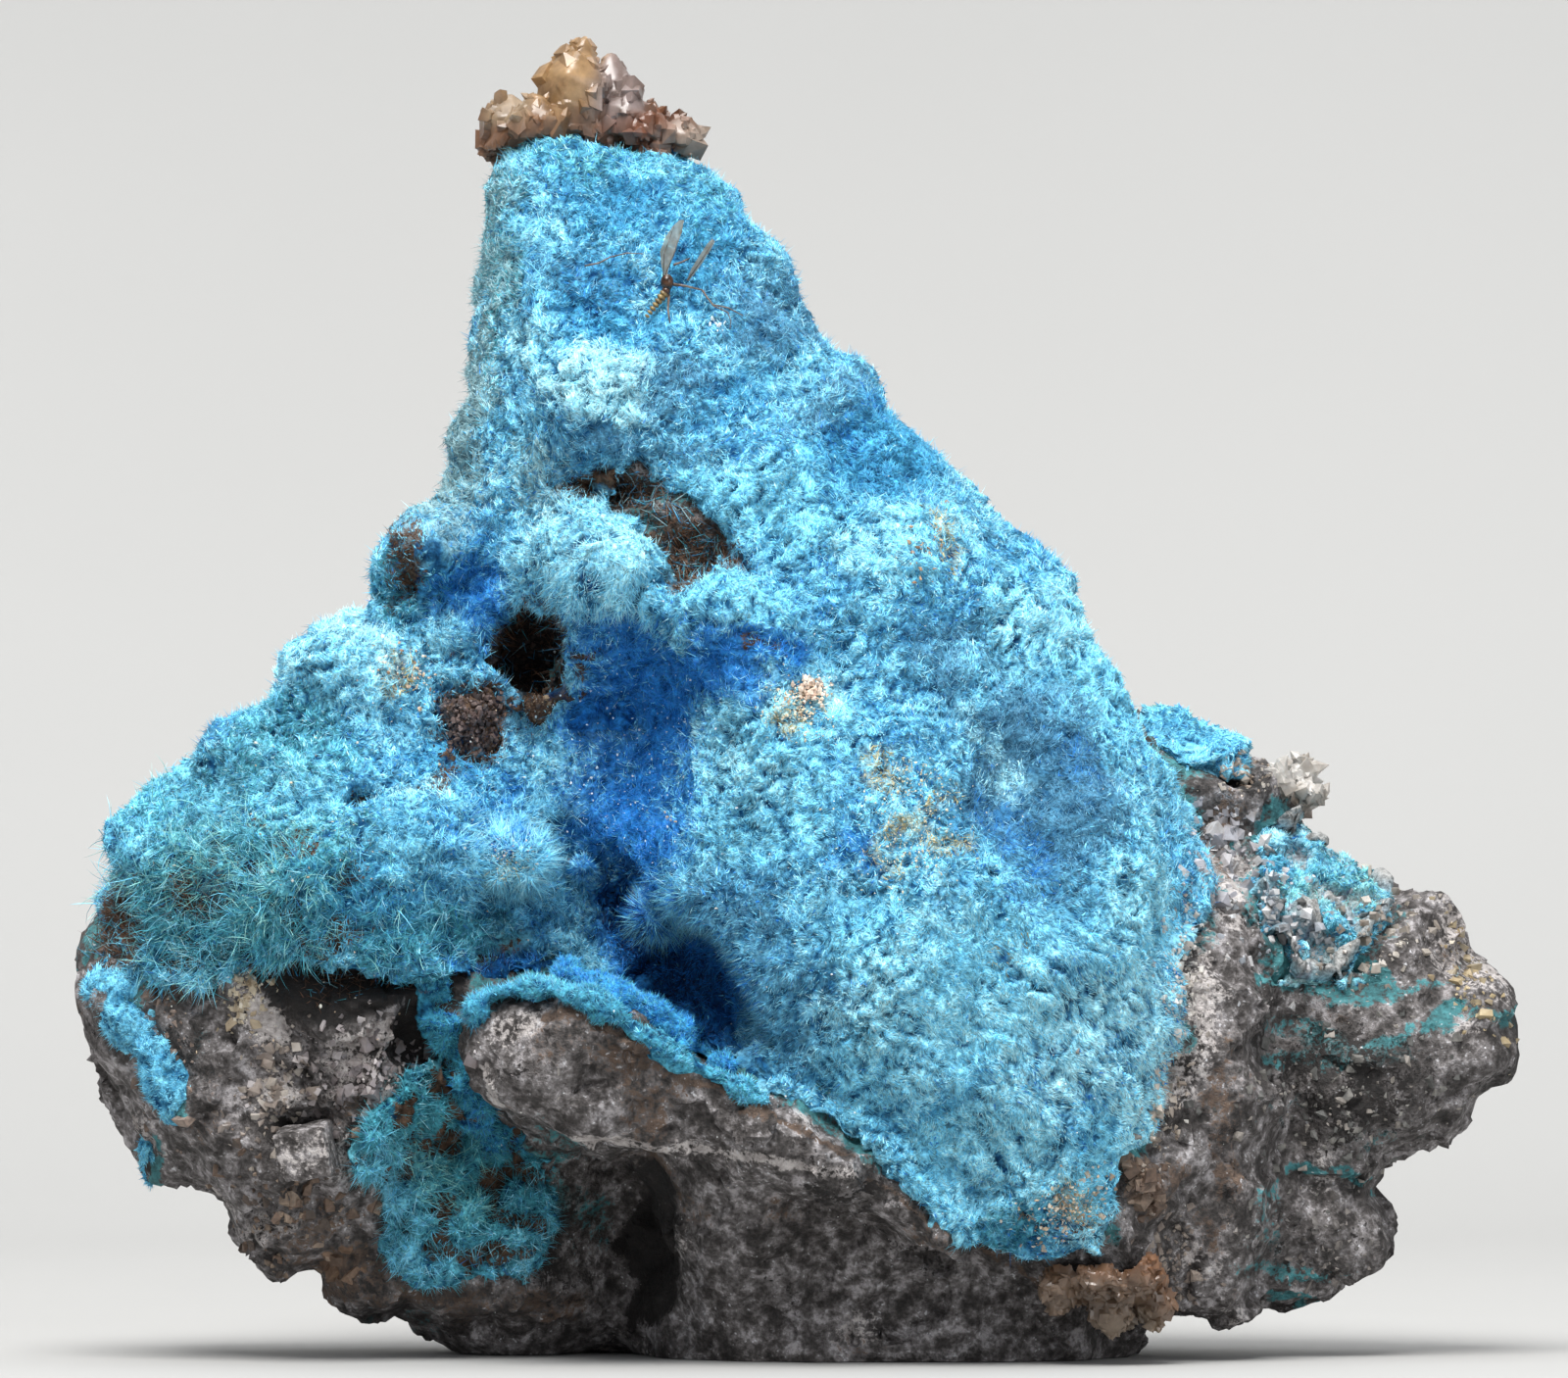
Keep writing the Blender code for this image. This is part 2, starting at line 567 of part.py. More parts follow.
def let_down(points, normals, edges, down):
    """The skin let down by at least the given distances, with its sharp bumps worn off on the way."""
    low = points - normals * down[:, None]
    joins = np.zeros(len(points))
    np.add.at(joins, edges.ravel(), 1)
    for _ in range(WEARING):
        total = np.zeros_like(low)
        np.add.at(total, edges[:, 0], low[edges[:, 1]])
        np.add.at(total, edges[:, 1], low[edges[:, 0]])
        worn = np.where(down[:, None] > 0.0, (low + total / joins[:, None]) / 2, low)
        lack = down - ((points - worn) * normals).sum(axis=1)
        low = worn - normals * np.maximum(lack, 0.0)[:, None] * (down[:, None] > 0.0)
    return low


def crust(name, skin, depth, collection):
    """The skin's faces inside a crust's edge as a shell, which rises over the skin and thins out to that edge."""
    points, normals, edges = points_of(skin), normals_of(skin), edges_of(skin)
    top = points + normals * CRUST_RISE
    under = let_down(points, normals, edges, CRUST_THICKNESS * np.clip(depth / CRUST_TAPER, 0.0, 1.0))
    bm = bmesh.new()
    bm.from_mesh(skin)
    number = bm.verts.layers.int.new("number")
    for vertex in bm.verts:
        vertex[number] = vertex.index
    within = [depth[[vertex.index for vertex in face.verts]] for face in bm.faces]
    outside = [face for face, into in zip(bm.faces, within) if into.min() < 0.0 or into.max() == 0.0]
    bmesh.ops.delete(bm, geom=outside, context="FACES")
    keep_largest_patch(bm)
    part_pinched_corners(bm)
    for vertex in bm.verts:
        vertex.co = Vector(under[vertex[number]]) * MM
    raised = bmesh.ops.extrude_face_region(bm, geom=bm.faces[:], use_keep_orig=True)["geom"]
    for vertex in raised:
        if isinstance(vertex, bmesh.types.BMVert):
            vertex.co = Vector(top[vertex[number]]) * MM
    return new_object(name, bm, collection), under


def patches_of(bm):
    """The faces in groups that hang together by their edges."""
    unseen = set(bm.faces)
    patches = []
    while unseen:
        front = [unseen.pop()]
        patch = set(front)
        while front:
            near = {other for edge in front.pop().edges for other in edge.link_faces if other in unseen}
            unseen -= near
            patch |= near
            front.extend(near)
        patches.append(patch)
    return patches


def keep_largest_patch(bm):
    largest = max(patches_of(bm), key=len)
    bmesh.ops.delete(bm, geom=[f for f in bm.faces if f not in largest], context="FACES")


def part_pinched_corners(bm):
    """Takes away the smaller side of any corner where two stretches of a patch's edge only touch."""
    pinched = [v for v in bm.verts if sum(edge.is_boundary for edge in v.link_edges) > 2]
    if pinched:
        bmesh.ops.delete(bm, geom=list({face for v in pinched for face in v.link_faces}), context="FACES")
        keep_largest_patch(bm)
        part_pinched_corners(bm)


def rock_body(skin, depths, unders, collection):
    """The skin let down clear of the undersides of the crusts, and cut flat at the foot."""
    points, normals = points_of(skin), normals_of(skin)
    down = np.zeros(len(points))
    for name, depth in depths.items():
        clear = ((points - unders[name]) * normals).sum(axis=1) + GAP
        down = np.maximum(down, np.where(depth >= 0.0, clear, 0.0))
    set_points(skin, let_down(points, normals, edges_of(skin), down))
    bm = bmesh.new()
    bm.from_mesh(skin)
    cut = bmesh.ops.bisect_plane(
        bm, geom=[*bm.verts, *bm.edges, *bm.faces], dist=FOOT_TOLERANCE, plane_co=(0, 0, 0),
        plane_no=(0, 0, -1), clear_outer=True,
    )
    rim = [edge for edge in cut["geom_cut"] if isinstance(edge, bmesh.types.BMEdge)]
    bmesh.ops.edgeloop_fill(bm, edges=rim)
    return new_object("host_rock", bm, collection)


def front_of(surface):
    """A function that gives the Y of a surface's front at a place across and up, in mm."""
    tree = BVHTree.FromObject(surface, bpy.context.evaluated_depsgraph_get())

    def front(across, up):
        return tree.ray_cast(Vector((across, VIEWER, up)) * MM, Vector((0.0, 1.0, 0.0)))[0].y / MM

    return front


def block_crystal(rock, helpers):
    across, up = BLOCK_AT
    centre = Vector((across, front_of(rock)(across, up) - BLOCK_PROUD + BLOCK_HALF[1], up))
    turns = [Matrix.Rotation(math.radians(turn), 4, axis) for turn, axis in zip(BLOCK_TURNS, "XYZ")]
    place = Matrix.Translation(centre * MM) @ turns[2] @ turns[1] @ turns[0]
    bm = bmesh.new()
    bmesh.ops.create_cube(bm, size=2.0, matrix=place @ Matrix.Diagonal((*(Vector(BLOCK_HALF) * MM), 1.0)))
    return as_helper(new_object("square_crystal", bm, helpers))


def crystal(bm, root, length, half_width, pointing):
    """A six-sided prism with a pointed end, growing from its root, as one closed body."""
    direction = Vector(pointing).normalized()
    turn = Vector((0.0, 0.0, 1.0)).rotation_difference(direction).to_matrix().to_4x4()
    spin = Matrix.Rotation(length * CRYSTAL_SPIN, 4, "Z")
    place = Matrix.Translation((Vector(root) - direction * ROOT_DEPTH) * MM) @ turn @ spin
    shaft = (length * (1.0 - POINT_SHARE) + ROOT_DEPTH) * MM
    point = length * POINT_SHARE * MM
    wide = half_width * MM
    made = bmesh.ops.create_cone(
        bm, cap_ends=True, segments=CRYSTAL_SIDES, radius1=wide, radius2=wide, depth=shaft,
        matrix=place @ Matrix.Translation((0.0, 0.0, shaft / 2)),
    )
    end = max({face for vertex in made["verts"] for face in vertex.link_faces},
              key=lambda face: face.calc_center_median().dot(direction))
    raised = bmesh.ops.extrude_discrete_faces(bm, faces=[end])["faces"][0]
    tip = raised.calc_center_median() + direction * point
    for vertex in raised.verts:
        vertex.co = tip + (vertex.co - raised.calc_center_median()) * POINT_TIP


def quartz_cluster(name, crystals, foot, specimen, helpers):
    """Crystals and their grown-together foot, joined in one solid."""
    bm = bmesh.new()
    lump(bm, *foot[0], detail=FOOT_DETAIL)
    cluster = new_object(name, bm, specimen)
    for number, shape in enumerate(foot[1:]):
        bm = bmesh.new()
        lump(bm, *shape, detail=FOOT_DETAIL)
        add_boolean(cluster, as_helper(new_object(f"{name}_foot_{number}", bm, helpers)), "UNION")
    for number, shape in enumerate(crystals):
        bm = bmesh.new()
        crystal(bm, *shape)
        add_boolean(cluster, as_helper(new_object(f"{name}_crystal_{number}", bm, helpers)), "UNION")
    return cluster


def clear_of(obj, neighbours, helpers):
    """Cuts a piece clear of its neighbours by the gap, and keeps the one body that is left."""
    for neighbour in neighbours:
        grown = evaluated_mesh(neighbour)
        set_points(grown, points_of(grown) + normals_of(grown) * GAP)
        add_boolean(obj, as_helper(place_mesh(f"{neighbour.name}_for_{obj.name}", grown, helpers)), "DIFFERENCE")
    mesh = evaluated_mesh(obj)
    bm = bmesh.new()
    bm.from_mesh(mesh)
    bmesh.ops.remove_doubles(bm, verts=bm.verts, dist=SLIVER * MM)
    keep_largest_patch(bm)
    bm.to_mesh(mesh)
    bm.free()
    obj.modifiers.clear()
    obj.data = mesh


def gnat(surface, specimen):
    """The gnat's body, wings and legs, fused and lying just in front of the velvet."""
    bm = bmesh.new()
    for (across, up), radii, tilt in GNAT_LUMPS:
        lump(bm, (across, 0.0, up), radii, tilt)
    for leg in GNAT_LEGS:
        joints = [Vector((across, 0.0, up)) for across, up in leg]
        for start, end in zip(joints, joints[1:]):
            run = end - start
            turn = Vector((0.0, 0.0, 1.0)).rotation_difference(run).to_matrix().to_4x4()
            bmesh.ops.create_cone(
                bm, cap_ends=True, segments=GNAT_LEG_SIDES, radius1=GNAT_LEG_RADIUS * MM,
                radius2=GNAT_LEG_RADIUS * MM, depth=(run.length + GNAT_LEG_RADIUS) * MM,
                matrix=Matrix.Translation((start + end) / 2 * MM) @ turn,
            )
    front = front_of(surface)
    places = [(vertex.co.x / MM, vertex.co.z / MM) for vertex in bm.verts]
    nearest = min(front(across, up) - GNAT_LEAN * up for across, up in places)
    for vertex in bm.verts:
        vertex.co.y += GNAT_LEAN * vertex.co.z + (nearest - GAP - GNAT_HEIGHT) * MM
    obj = new_object("gnat", bm, specimen)
    add_remesh(obj, GNAT_VOXEL)
    add_thinning(obj, GNAT_TRIANGLES)


def new_material(name):
    rgb, roughness = MATERIALS[name]
    material = bpy.data.materials.new(name)
    material.use_nodes = True
    shader = material.node_tree.nodes["Principled BSDF"]
    shader.inputs["Base Color"].default_value = (*rgb, 1.0)
    shader.inputs["Roughness"].default_value = roughness
    shader.inputs["Metallic"].default_value = 0.0
    material.diffuse_color = (*rgb, 1.0)
    return material


def new_collection(name):
    collection = bpy.data.collections.new(name)
    bpy.context.scene.collection.children.link(collection)
    return collection


def main():
    for obj in list(bpy.data.objects):
        bpy.data.objects.remove(obj)
    specimen = new_collection("cyanotrichite_specimen")
    helpers = new_collection("helpers")

    skin = finished_skin(helpers)
    depths = crust_shares(skin)
    crusts, unders = {}, {}
    for name, depth in depths.items():
        crusts[name], unders[name] = crust(name, skin, depth, specimen)
    rock = rock_body(skin, depths, unders, specimen)
    add_boolean(rock, block_crystal(rock, helpers), "UNION")

    tip = quartz_cluster("tip_quartz", TIP_QUARTZ, TIP_FOOT, specimen, helpers)
    peak = quartz_cluster("peak_quartz", PEAK_QUARTZ, PEAK_FOOT, specimen, helpers)
    corner = quartz_cluster("corner_quartz", CORNER_QUARTZ, CORNER_FOOT, specimen, helpers)
    clear_of(tip, [rock, crusts["blue_crust"]], helpers)
    clear_of(peak, [rock, crusts["peak_crust"], crusts["flank_crust"]], helpers)
    clear_of(corner, [rock, crusts["blue_crust"]], helpers)
    gnat(crusts["blue_crust"], specimen)

    materials = {name: new_material(name) for name in MATERIALS}
    for piece in specimen.objects:
        piece.data.materials.clear()
        piece.data.materials.append(materials[PIECE_MATERIALS[piece.name]])


main()
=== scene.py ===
"""Looks of the cyanotrichite specimen: grey vein rock, a velvet of blue and teal needles, quartz and a gnat.

Places and lengths are in millimetres in the frame's own axes: X to the viewer's right, Y away from the
viewer, Z up. They become metres where a mesh is made. The velvet is a felt ground, which fills the space of
the crusts, with needles on it that reach the crusts' outer faces.
"""

import math

import bmesh
import bpy
import numpy as np
from mathutils import Matrix, Vector, noise
from mathutils.bvhtree import BVHTree


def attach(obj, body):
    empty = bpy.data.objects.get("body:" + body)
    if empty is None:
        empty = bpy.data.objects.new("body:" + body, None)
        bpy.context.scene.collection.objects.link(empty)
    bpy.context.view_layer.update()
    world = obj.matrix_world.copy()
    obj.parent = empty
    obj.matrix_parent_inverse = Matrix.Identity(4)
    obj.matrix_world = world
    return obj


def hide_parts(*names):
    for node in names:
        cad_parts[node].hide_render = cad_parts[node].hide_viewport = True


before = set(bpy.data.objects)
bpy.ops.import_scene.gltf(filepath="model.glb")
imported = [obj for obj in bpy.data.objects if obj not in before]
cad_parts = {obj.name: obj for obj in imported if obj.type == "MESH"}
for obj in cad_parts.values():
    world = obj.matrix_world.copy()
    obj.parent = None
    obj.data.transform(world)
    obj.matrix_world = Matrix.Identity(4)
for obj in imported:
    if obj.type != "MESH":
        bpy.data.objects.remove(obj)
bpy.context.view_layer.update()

MM = 0.001
FAR = 40.0
DRAW = np.random.default_rng(20)
noise.seed_set(5)

# The photo: the size of a pixel and the pixel where the specimen's foot stands
PIXEL = 0.025
FOOT_PIXEL = (800, 1388)

# Fineness of the remade surfaces, and the most triangles in a piece
ROCK_VOXEL = 0.16
FELT_VOXEL = 0.105
QUARTZ_VOXEL = 0.07
MOST_TRIANGLES = 190_000
# Lines drawn on the front of the rock end at this depth
LINES_END = 4.0

# The felt lies this far under the tips of the needles and is sunk this far into the rock
FELT_DEPTH = 0.24
FELT_SUNK = 0.25
# How deep worn places sink into the felt, and the sink from which the felt's thin edges are worn too
FELT_SINK = 0.22
WORN_EDGE_SINK = 0.45

# Needles in the whole velvet: their number, length and width, and the length and width of those that are flakes
NEEDLES = 250_000
NEEDLE_LENGTH = 0.26
NEEDLE_WIDTH = 0.025
FLAKE_LENGTH = 0.125
FLAKE_WIDTH = 0.052
# How deep the roots stand in the felt, and the least that a needle rises from it
ROOT_DEPTH = 0.04
LEAST_RISE = 0.14
# Needles drawn for each one that is kept, and blocks tried for each one that is asked for
DRAWN_PER_KEPT = 1.6
TRIES = 1.6
# The needles' map, and how tall the same map is in the one that is kept for baking
NEEDLE_MAP = "needle"
BAKE_HEIGHT = 0.15

# The colours of the velvet: each kind of needle with its root and its tip, as screen colours
PALETTE = {
    # Near-black needles that paint shade in the pocket, under the shoulder's edge and among its long needles
    "night": ((2, 14, 40), (8, 52, 112)),
    "deep": ((10, 108, 202), (52, 152, 230)),
    "azure": ((12, 98, 160), (88, 192, 232)),
    "steel": ((26, 92, 134), (108, 176, 210)),
    "sky": ((56, 178, 232), (160, 238, 255)),
    "ice": ((112, 218, 252), (208, 250, 255)),
    "teal": ((10, 90, 114), (92, 194, 212)),
    "mint": ((62, 166, 168), (182, 242, 236)),
    "mist": ((96, 150, 164), (178, 214, 220)),
    "straw": ((138, 140, 108), (222, 204, 148)),
    "bark": ((30, 20, 15), (116, 84, 62)),
}
KINDS = list(PALETTE)
# How pale each kind counts, for the tone of a place
LIGHTNESS = {"night": -1.2, "deep": -1.2, "azure": -0.5, "steel": -0.5, "sky": 0.5, "ice": 1.2, "teal": -0.4,
             "mint": 0.6, "mist": 0.1, "straw": 0.2, "bark": -0.2}
# The kinds that grow where no zone asks for another, with their shares. The near-white ice needles among them paint
# glints.
EVERYWHERE = {"azure": 0.32, "sky": 0.42, "steel": 0.12, "deep": 0.05, "ice": 0.10}
# The painted shade in the felt's pits, and the felt's colour where it is worn on the right
PIT_SHADE_COLOUR = (4, 44, 92)
WORN_GREY = (146, 147, 146)

# Zones are soft ellipses in the view along +Y: across, up, half-width, half-height, tilt, strength. A
# positive tilt leans the top to the right, in degrees.
KIND_ZONES = {
    # Painted shade: the pocket, under the shoulder's edge and dark spots among the shoulder's long needles
    "night": [
        (-14.1, 12.5, 0.7, 0.3, -10, 0.55), (-12.5, 15.7, 0.5, 0.3, 0, 0.4), (-10.0, 12.1, 0.6, 0.3, 20, 0.5),
        (-12.2, 12.2, 0.4, 0.3, 0, 0.4), (-2.9, 10.0, 0.75, 2.2, -38, 1.2), (-4.15, 11.5, 0.55, 0.8, -10, 1.1),
        (-7.0, 10.2, 0.9, 0.25, 0, 0.7),
    ],
    "azure": [
        (2.4, 22.9, 1.8, 1.4, -30, 1.2), (-4.6, 27.2, 1.5, 1.3, 0, 1.1), (-4.2, 29.4, 1.6, 0.7, 10, 0.9),
        (-2.6, 28.2, 1.2, 1.2, 0, 0.9), (-5.2, 25.4, 0.8, 0.6, 0, 0.8), (3.0, 6.6, 1.4, 0.7, -40, 0.6),
        (-1.6, 24.4, 1.8, 0.5, -20, 0.7), (-10.6, 12.0, 2.2, 1.0, 0, 0.7), (-8.4, 14.6, 1.4, 1.2, 0, 0.6),
        (6.6, 20.6, 0.9, 1.4, -20, 0.8), (10.2, 16.6, 1.6, 1.2, 0, 0.6),
    ],
    # The velvet's deep blue; the zones in the pocket and under the shoulder's edge also paint its shade
    "deep": [
        (-4.0, 15.6, 2.0, 3.3, 0, 1.0), (-1.6, 17.5, 1.7, 0.8, 0, 0.8), (-0.8, 18.2, 1.4, 0.5, 0, 0.8),
        (-7.4, 14.0, 1.5, 1.0, 0, 0.4), (-3.0, 10.2, 1.2, 3.2, -36, 1.0), (-4.8, 27.3, 0.8, 0.6, 0, 0.4),
        (1.8, 23.7, 1.0, 0.6, -30, 0.35), (6.6, 20.6, 0.7, 1.3, -20, 0.3), (-3.7, 11.0, 0.9, 1.2, -10, 1.0),
        (-2.3, 8.6, 0.7, 1.4, -36, 1.0), (-2.9, 17.2, 1.8, 0.9, 0, 1.0), (1.8, 12.8, 0.6, 0.6, 0, 0.4),
        (-7.8, 19.4, 1.3, 1.0, 30, 0.5), (5.8, 13.3, 0.6, 2.0, -22, 0.42), (7.2, 15.2, 0.9, 0.6, 20, 0.4),
        (-7.0, 9.9, 1.4, 0.5, 0, 0.8),
    ],
    "steel": [
        (6.6, 14.6, 2.0, 2.9, -20, 1.3), (4.4, 17.8, 1.2, 1.4, -30, 0.7), (-0.2, 26.6, 1.2, 1.4, 0, 0.7),
        (0.8, 24.2, 1.4, 0.9, -30, 0.6), (-2.8, 24.7, 1.4, 1.1, 0, 0.7), (-5.2, 27.6, 1.2, 0.9, 0, 1.0),
        (-3.9, 23.3, 1.8, 0.6, 0, 0.8), (0.2, 9.4, 1.5, 2.3, -42, 0.35), (-7.6, 16.7, 0.9, 1.1, 0, 0.5),
        (4.2, 18.0, 1.4, 1.2, -30, 0.5), (-1.0, 11.6, 1.4, 1.0, 0, 0.5),
    ],
    "sky": [
        (-10.6, 4.2, 1.2, 1.6, 0, 0.8), (-9.8, 2.9, 1.6, 0.8, 0, 0.7), (-14.6, 14.4, 2.0, 1.2, 30, 0.7),
        (-12.4, 14.2, 1.2, 0.8, 0, 0.6), (-16.7, 13.0, 0.9, 1.2, 20, 0.6), (-4.7, 20.4, 1.7, 1.6, 0, 1.1),
        (-1.6, 19.2, 1.2, 0.8, 0, 0.8), (-6.0, 26.5, 0.5, 1.6, 0, 0.6), (-1.5, 22.0, 1.1, 0.9, 0, 0.8),
        (0.2, 21.6, 1.7, 1.2, -30, 0.8), (2.6, 20.6, 1.4, 1.2, 0, 0.6), (6.4, 18.5, 1.9, 1.6, -30, 0.9),
        (8.2, 16.7, 1.2, 1.7, -30, 0.8), (-1.0, 14.6, 2.3, 1.7, 0, 0.9), (5.0, 9.7, 3.0, 2.3, -35, 0.9),
        (8.6, 11.4, 1.4, 2.0, 0, 0.8), (5.0, 5.2, 2.2, 1.7, -40, 1.0), (8.0, 4.7, 1.2, 1.6, 0, 0.8),
        (2.2, 7.4, 1.6, 1.2, -40, 0.6), (-11.4, 17.2, 1.2, 1.0, 0, 0.8), (-9.2, 13.4, 1.6, 1.0, 0, 0.7),
        (-6.8, 12.8, 1.3, 1.3, 0, 0.9), (-3.0, 11.4, 0.9, 0.9, 0, 0.9), (0.0, 19.2, 1.0, 0.6, 0, 0.7),
        (10.4, 16.4, 1.6, 1.4, 0, 0.7), (2.4, 10.6, 1.6, 1.4, 0, 0.7),
    ],
    # Pale ice-blue velvet; on the slab its near-white needles also paint highlights
    "ice": [
        (-5.0, 20.8, 1.6, 1.2, 0, 1.0), (2.6, 9.6, 1.8, 1.2, -30, 0.5), (6.2, 6.8, 2.4, 1.3, -35, 0.8),
        (9.0, 6.6, 0.9, 1.8, 0, 0.6), (3.2, 7.6, 1.2, 0.9, -40, 0.4), (5.6, 5.4, 2.2, 1.5, -40, 0.9),
        (3.8, 11.2, 1.6, 0.9, -20, 0.45), (9.2, 9.2, 0.6, 2.0, 0, 0.7), (8.0, 3.4, 1.2, 0.7, -20, 0.5),
        (-4.8, 24.7, 1.0, 0.9, 0, 1.6), (-3.9, 27.1, 0.25, 0.9, 5, 0.8), (-1.2, 15.0, 1.7, 0.9, 20, 0.6),
        (7.4, 8.4, 2.0, 2.4, -20, 0.6), (8.8, 11.4, 0.9, 1.6, 0, 0.6), (-10.8, 18.1, 1.0, 0.9, 0, 0.9),
        (-4.8, 20.0, 1.2, 1.1, 0, 0.6), (-6.8, 12.9, 0.9, 0.8, 0, 0.5), (6.6, 18.8, 1.6, 1.2, -30, 0.6),
        (0.6, 16.9, 0.9, 0.5, 20, 0.6), (-4.9, 25.0, 1.3, 0.7, 20, 0.7), (-6.3, 25.8, 0.5, 1.0, 0, 0.5),
        (2.2, 20.6, 1.3, 1.0, -30, 0.4), (-11.6, 17.4, 1.4, 1.0, 20, 0.5), (9.9, 8.0, 0.6, 2.6, 0, 0.7),
        (13.4, 13.3, 1.2, 0.4, -10, 0.8), (14.0, 9.9, 1.6, 0.3, 8, 0.9), (5.4, 15.2, 0.5, 1.8, -20, 0.4),
        (4.4, 9.0, 1.3, 0.9, -30, 0.6), (-9.6, 14.4, 0.9, 0.5, 0, 0.5),
    ],
    "teal": [
        (-13.7, 12.0, 3.6, 2.2, 0, 0.8), (-15.2, 14.0, 2.2, 1.8, 0, 0.6), (-12.7, 15.6, 1.7, 1.2, 0, 0.6),
        (-9.2, 10.7, 2.2, 0.8, 0, 0.6), (-4.5, 30.6, 2.8, 0.5, 0, 0.35), (-2.2, 29.6, 1.0, 0.9, 0, 0.3),
        (-7.4, 28.2, 0.6, 3.4, 0, 0.6), (5.0, 3.0, 2.6, 0.7, -30, 0.4), (-8.4, 5.6, 3.4, 4.2, 0, 1.0),
        (14.0, 11.6, 2.6, 2.8, 0, 0.35), (-9.6, 19.6, 1.2, 0.9, 0, 0.4),
    ],
    "mint": [
        (-14.4, 12.4, 2.4, 1.4, 0, 0.35), (-4.6, 30.9, 2.6, 0.4, 0, 0.3), (-12.4, 13.4, 1.6, 0.8, 0, 0.35),
        (14.2, 12.0, 1.6, 0.8, 0, 0.5), (-8.6, 4.8, 1.4, 1.4, 0, 0.4), (10.6, 17.0, 1.6, 0.5, 0, 0.5),
    ],
    "mist": [
        (-7.5, 28.0, 0.6, 3.4, 0, 0.9), (-8.1, 24.2, 0.8, 2.8, 8, 1.0), (-9.2, 21.9, 1.4, 1.0, 30, 0.9),
        (-6.2, 22.4, 1.0, 1.2, 0, 0.5),
    ],
    "bark": [
        (-4.3, 22.15, 1.4, 0.4, -4, 1.2), (-2.2, 20.2, 0.9, 0.65, 28, 1.1), (-6.5, 18.2, 0.65, 1.2, 8, 1.2),
        (-7.95, 16.2, 0.8, 1.0, 0, 1.2), (-9.6, 20.1, 0.5, 0.8, -20, 0.8), (-8.9, 14.6, 0.7, 0.2, 0, 0.7),
        (-16.8, 11.3, 0.6, 1.0, 8, 1.1), (-14.7, 11.9, 0.8, 0.7, 0, 0.6), (7.4, 3.6, 1.2, 0.6, -20, 0.4),
    ],
    "straw": [
        (2.6, 14.9, 0.5, 0.4, 0, 0.4), (3.9, 14.4, 0.6, 0.35, -20, 0.4), (-6.8, 12.9, 0.5, 0.35, 0, 0.5),
        (3.2, 13.4, 0.8, 0.5, -30, 0.45), (4.2, 12.9, 0.6, 0.3, 0, 0.4), (2.4, 12.7, 0.4, 0.4, 0, 0.3),
        (0.5, 16.4, 0.5, 0.5, 0, 0.5), (7.0, 4.2, 0.8, 0.7, 0, 0.5), (4.0, 20.8, 0.5, 0.8, 0, 0.4),
        (-10.0, 17.6, 0.5, 0.4, 0, 0.6), (5.6, 10.6, 0.9, 0.7, 0, 0.3),
    ],
}

# Where the felt is worn off to brown rock
WORN_ZONES = [
    (-4.3, 22.15, 1.3, 0.35, -4, 1.0), (-2.2, 20.2, 0.75, 0.55, 28, 0.9), (-6.5, 18.2, 0.6, 1.1, 8, 1.0),
    (-7.95, 16.2, 0.75, 0.9, 0, 0.9), (-9.6, 20.1, 0.35, 0.6, -20, 0.8), (-10.9, 14.4, 0.45, 0.2, -15, 0.9),
    (-8.5, 14.8, 0.4, 0.2, 0, 0.7), (-7.2, 10.5, 0.5, 0.25, 0, 0.6), (-0.6, 18.2, 0.7, 0.18, -8, 0.7),
    (-16.8, 11.3, 0.55, 1.0, 8, 1.0), (-14.7, 11.9, 0.8, 0.7, 0, 0.5), (-12.7, 11.2, 0.8, 0.4, 0, 0.5),
]

# Where the rock is stained rusty, pale and green, and where it is dark: dark rock, and painted shade in the hollows,
# the cleft, under the shoulder's crust and under the ledge
RUST_ZONES = [
    (-9.8, 19.9, 0.6, 0.9, -20, 0.8), (11.2, 5.6, 0.7, 3.2, 0, 0.72), (-14.8, 10.6, 1.2, 1.4, 0, 0.9),
    (-11.6, 2.0, 2.2, 0.7, -20, 0.8), (-14.6, 6.4, 0.7, 1.2, 0, 0.5), (9.2, 4.6, 0.7, 0.9, 0, 0.9),
    (-4.3, 22.1, 1.4, 0.6, 0, 1.2), (-7.0, 1.2, 2.4, 0.8, 0, 0.7), (16.8, 9.6, 0.9, 1.6, 0, 0.4),
    (-2.3, 20.5, 1.3, 1.1, 28, 1.2), (-6.5, 18.2, 0.8, 1.3, 8, 1.2), (-7.95, 16.2, 0.9, 1.1, 0, 1.2),
    (-15.8, 10.0, 1.2, 0.8, 0, 0.9), (-16.8, 11.2, 0.7, 1.2, 8, 1.2), (-11.6, 3.4, 1.4, 0.8, -20, 0.6),
]
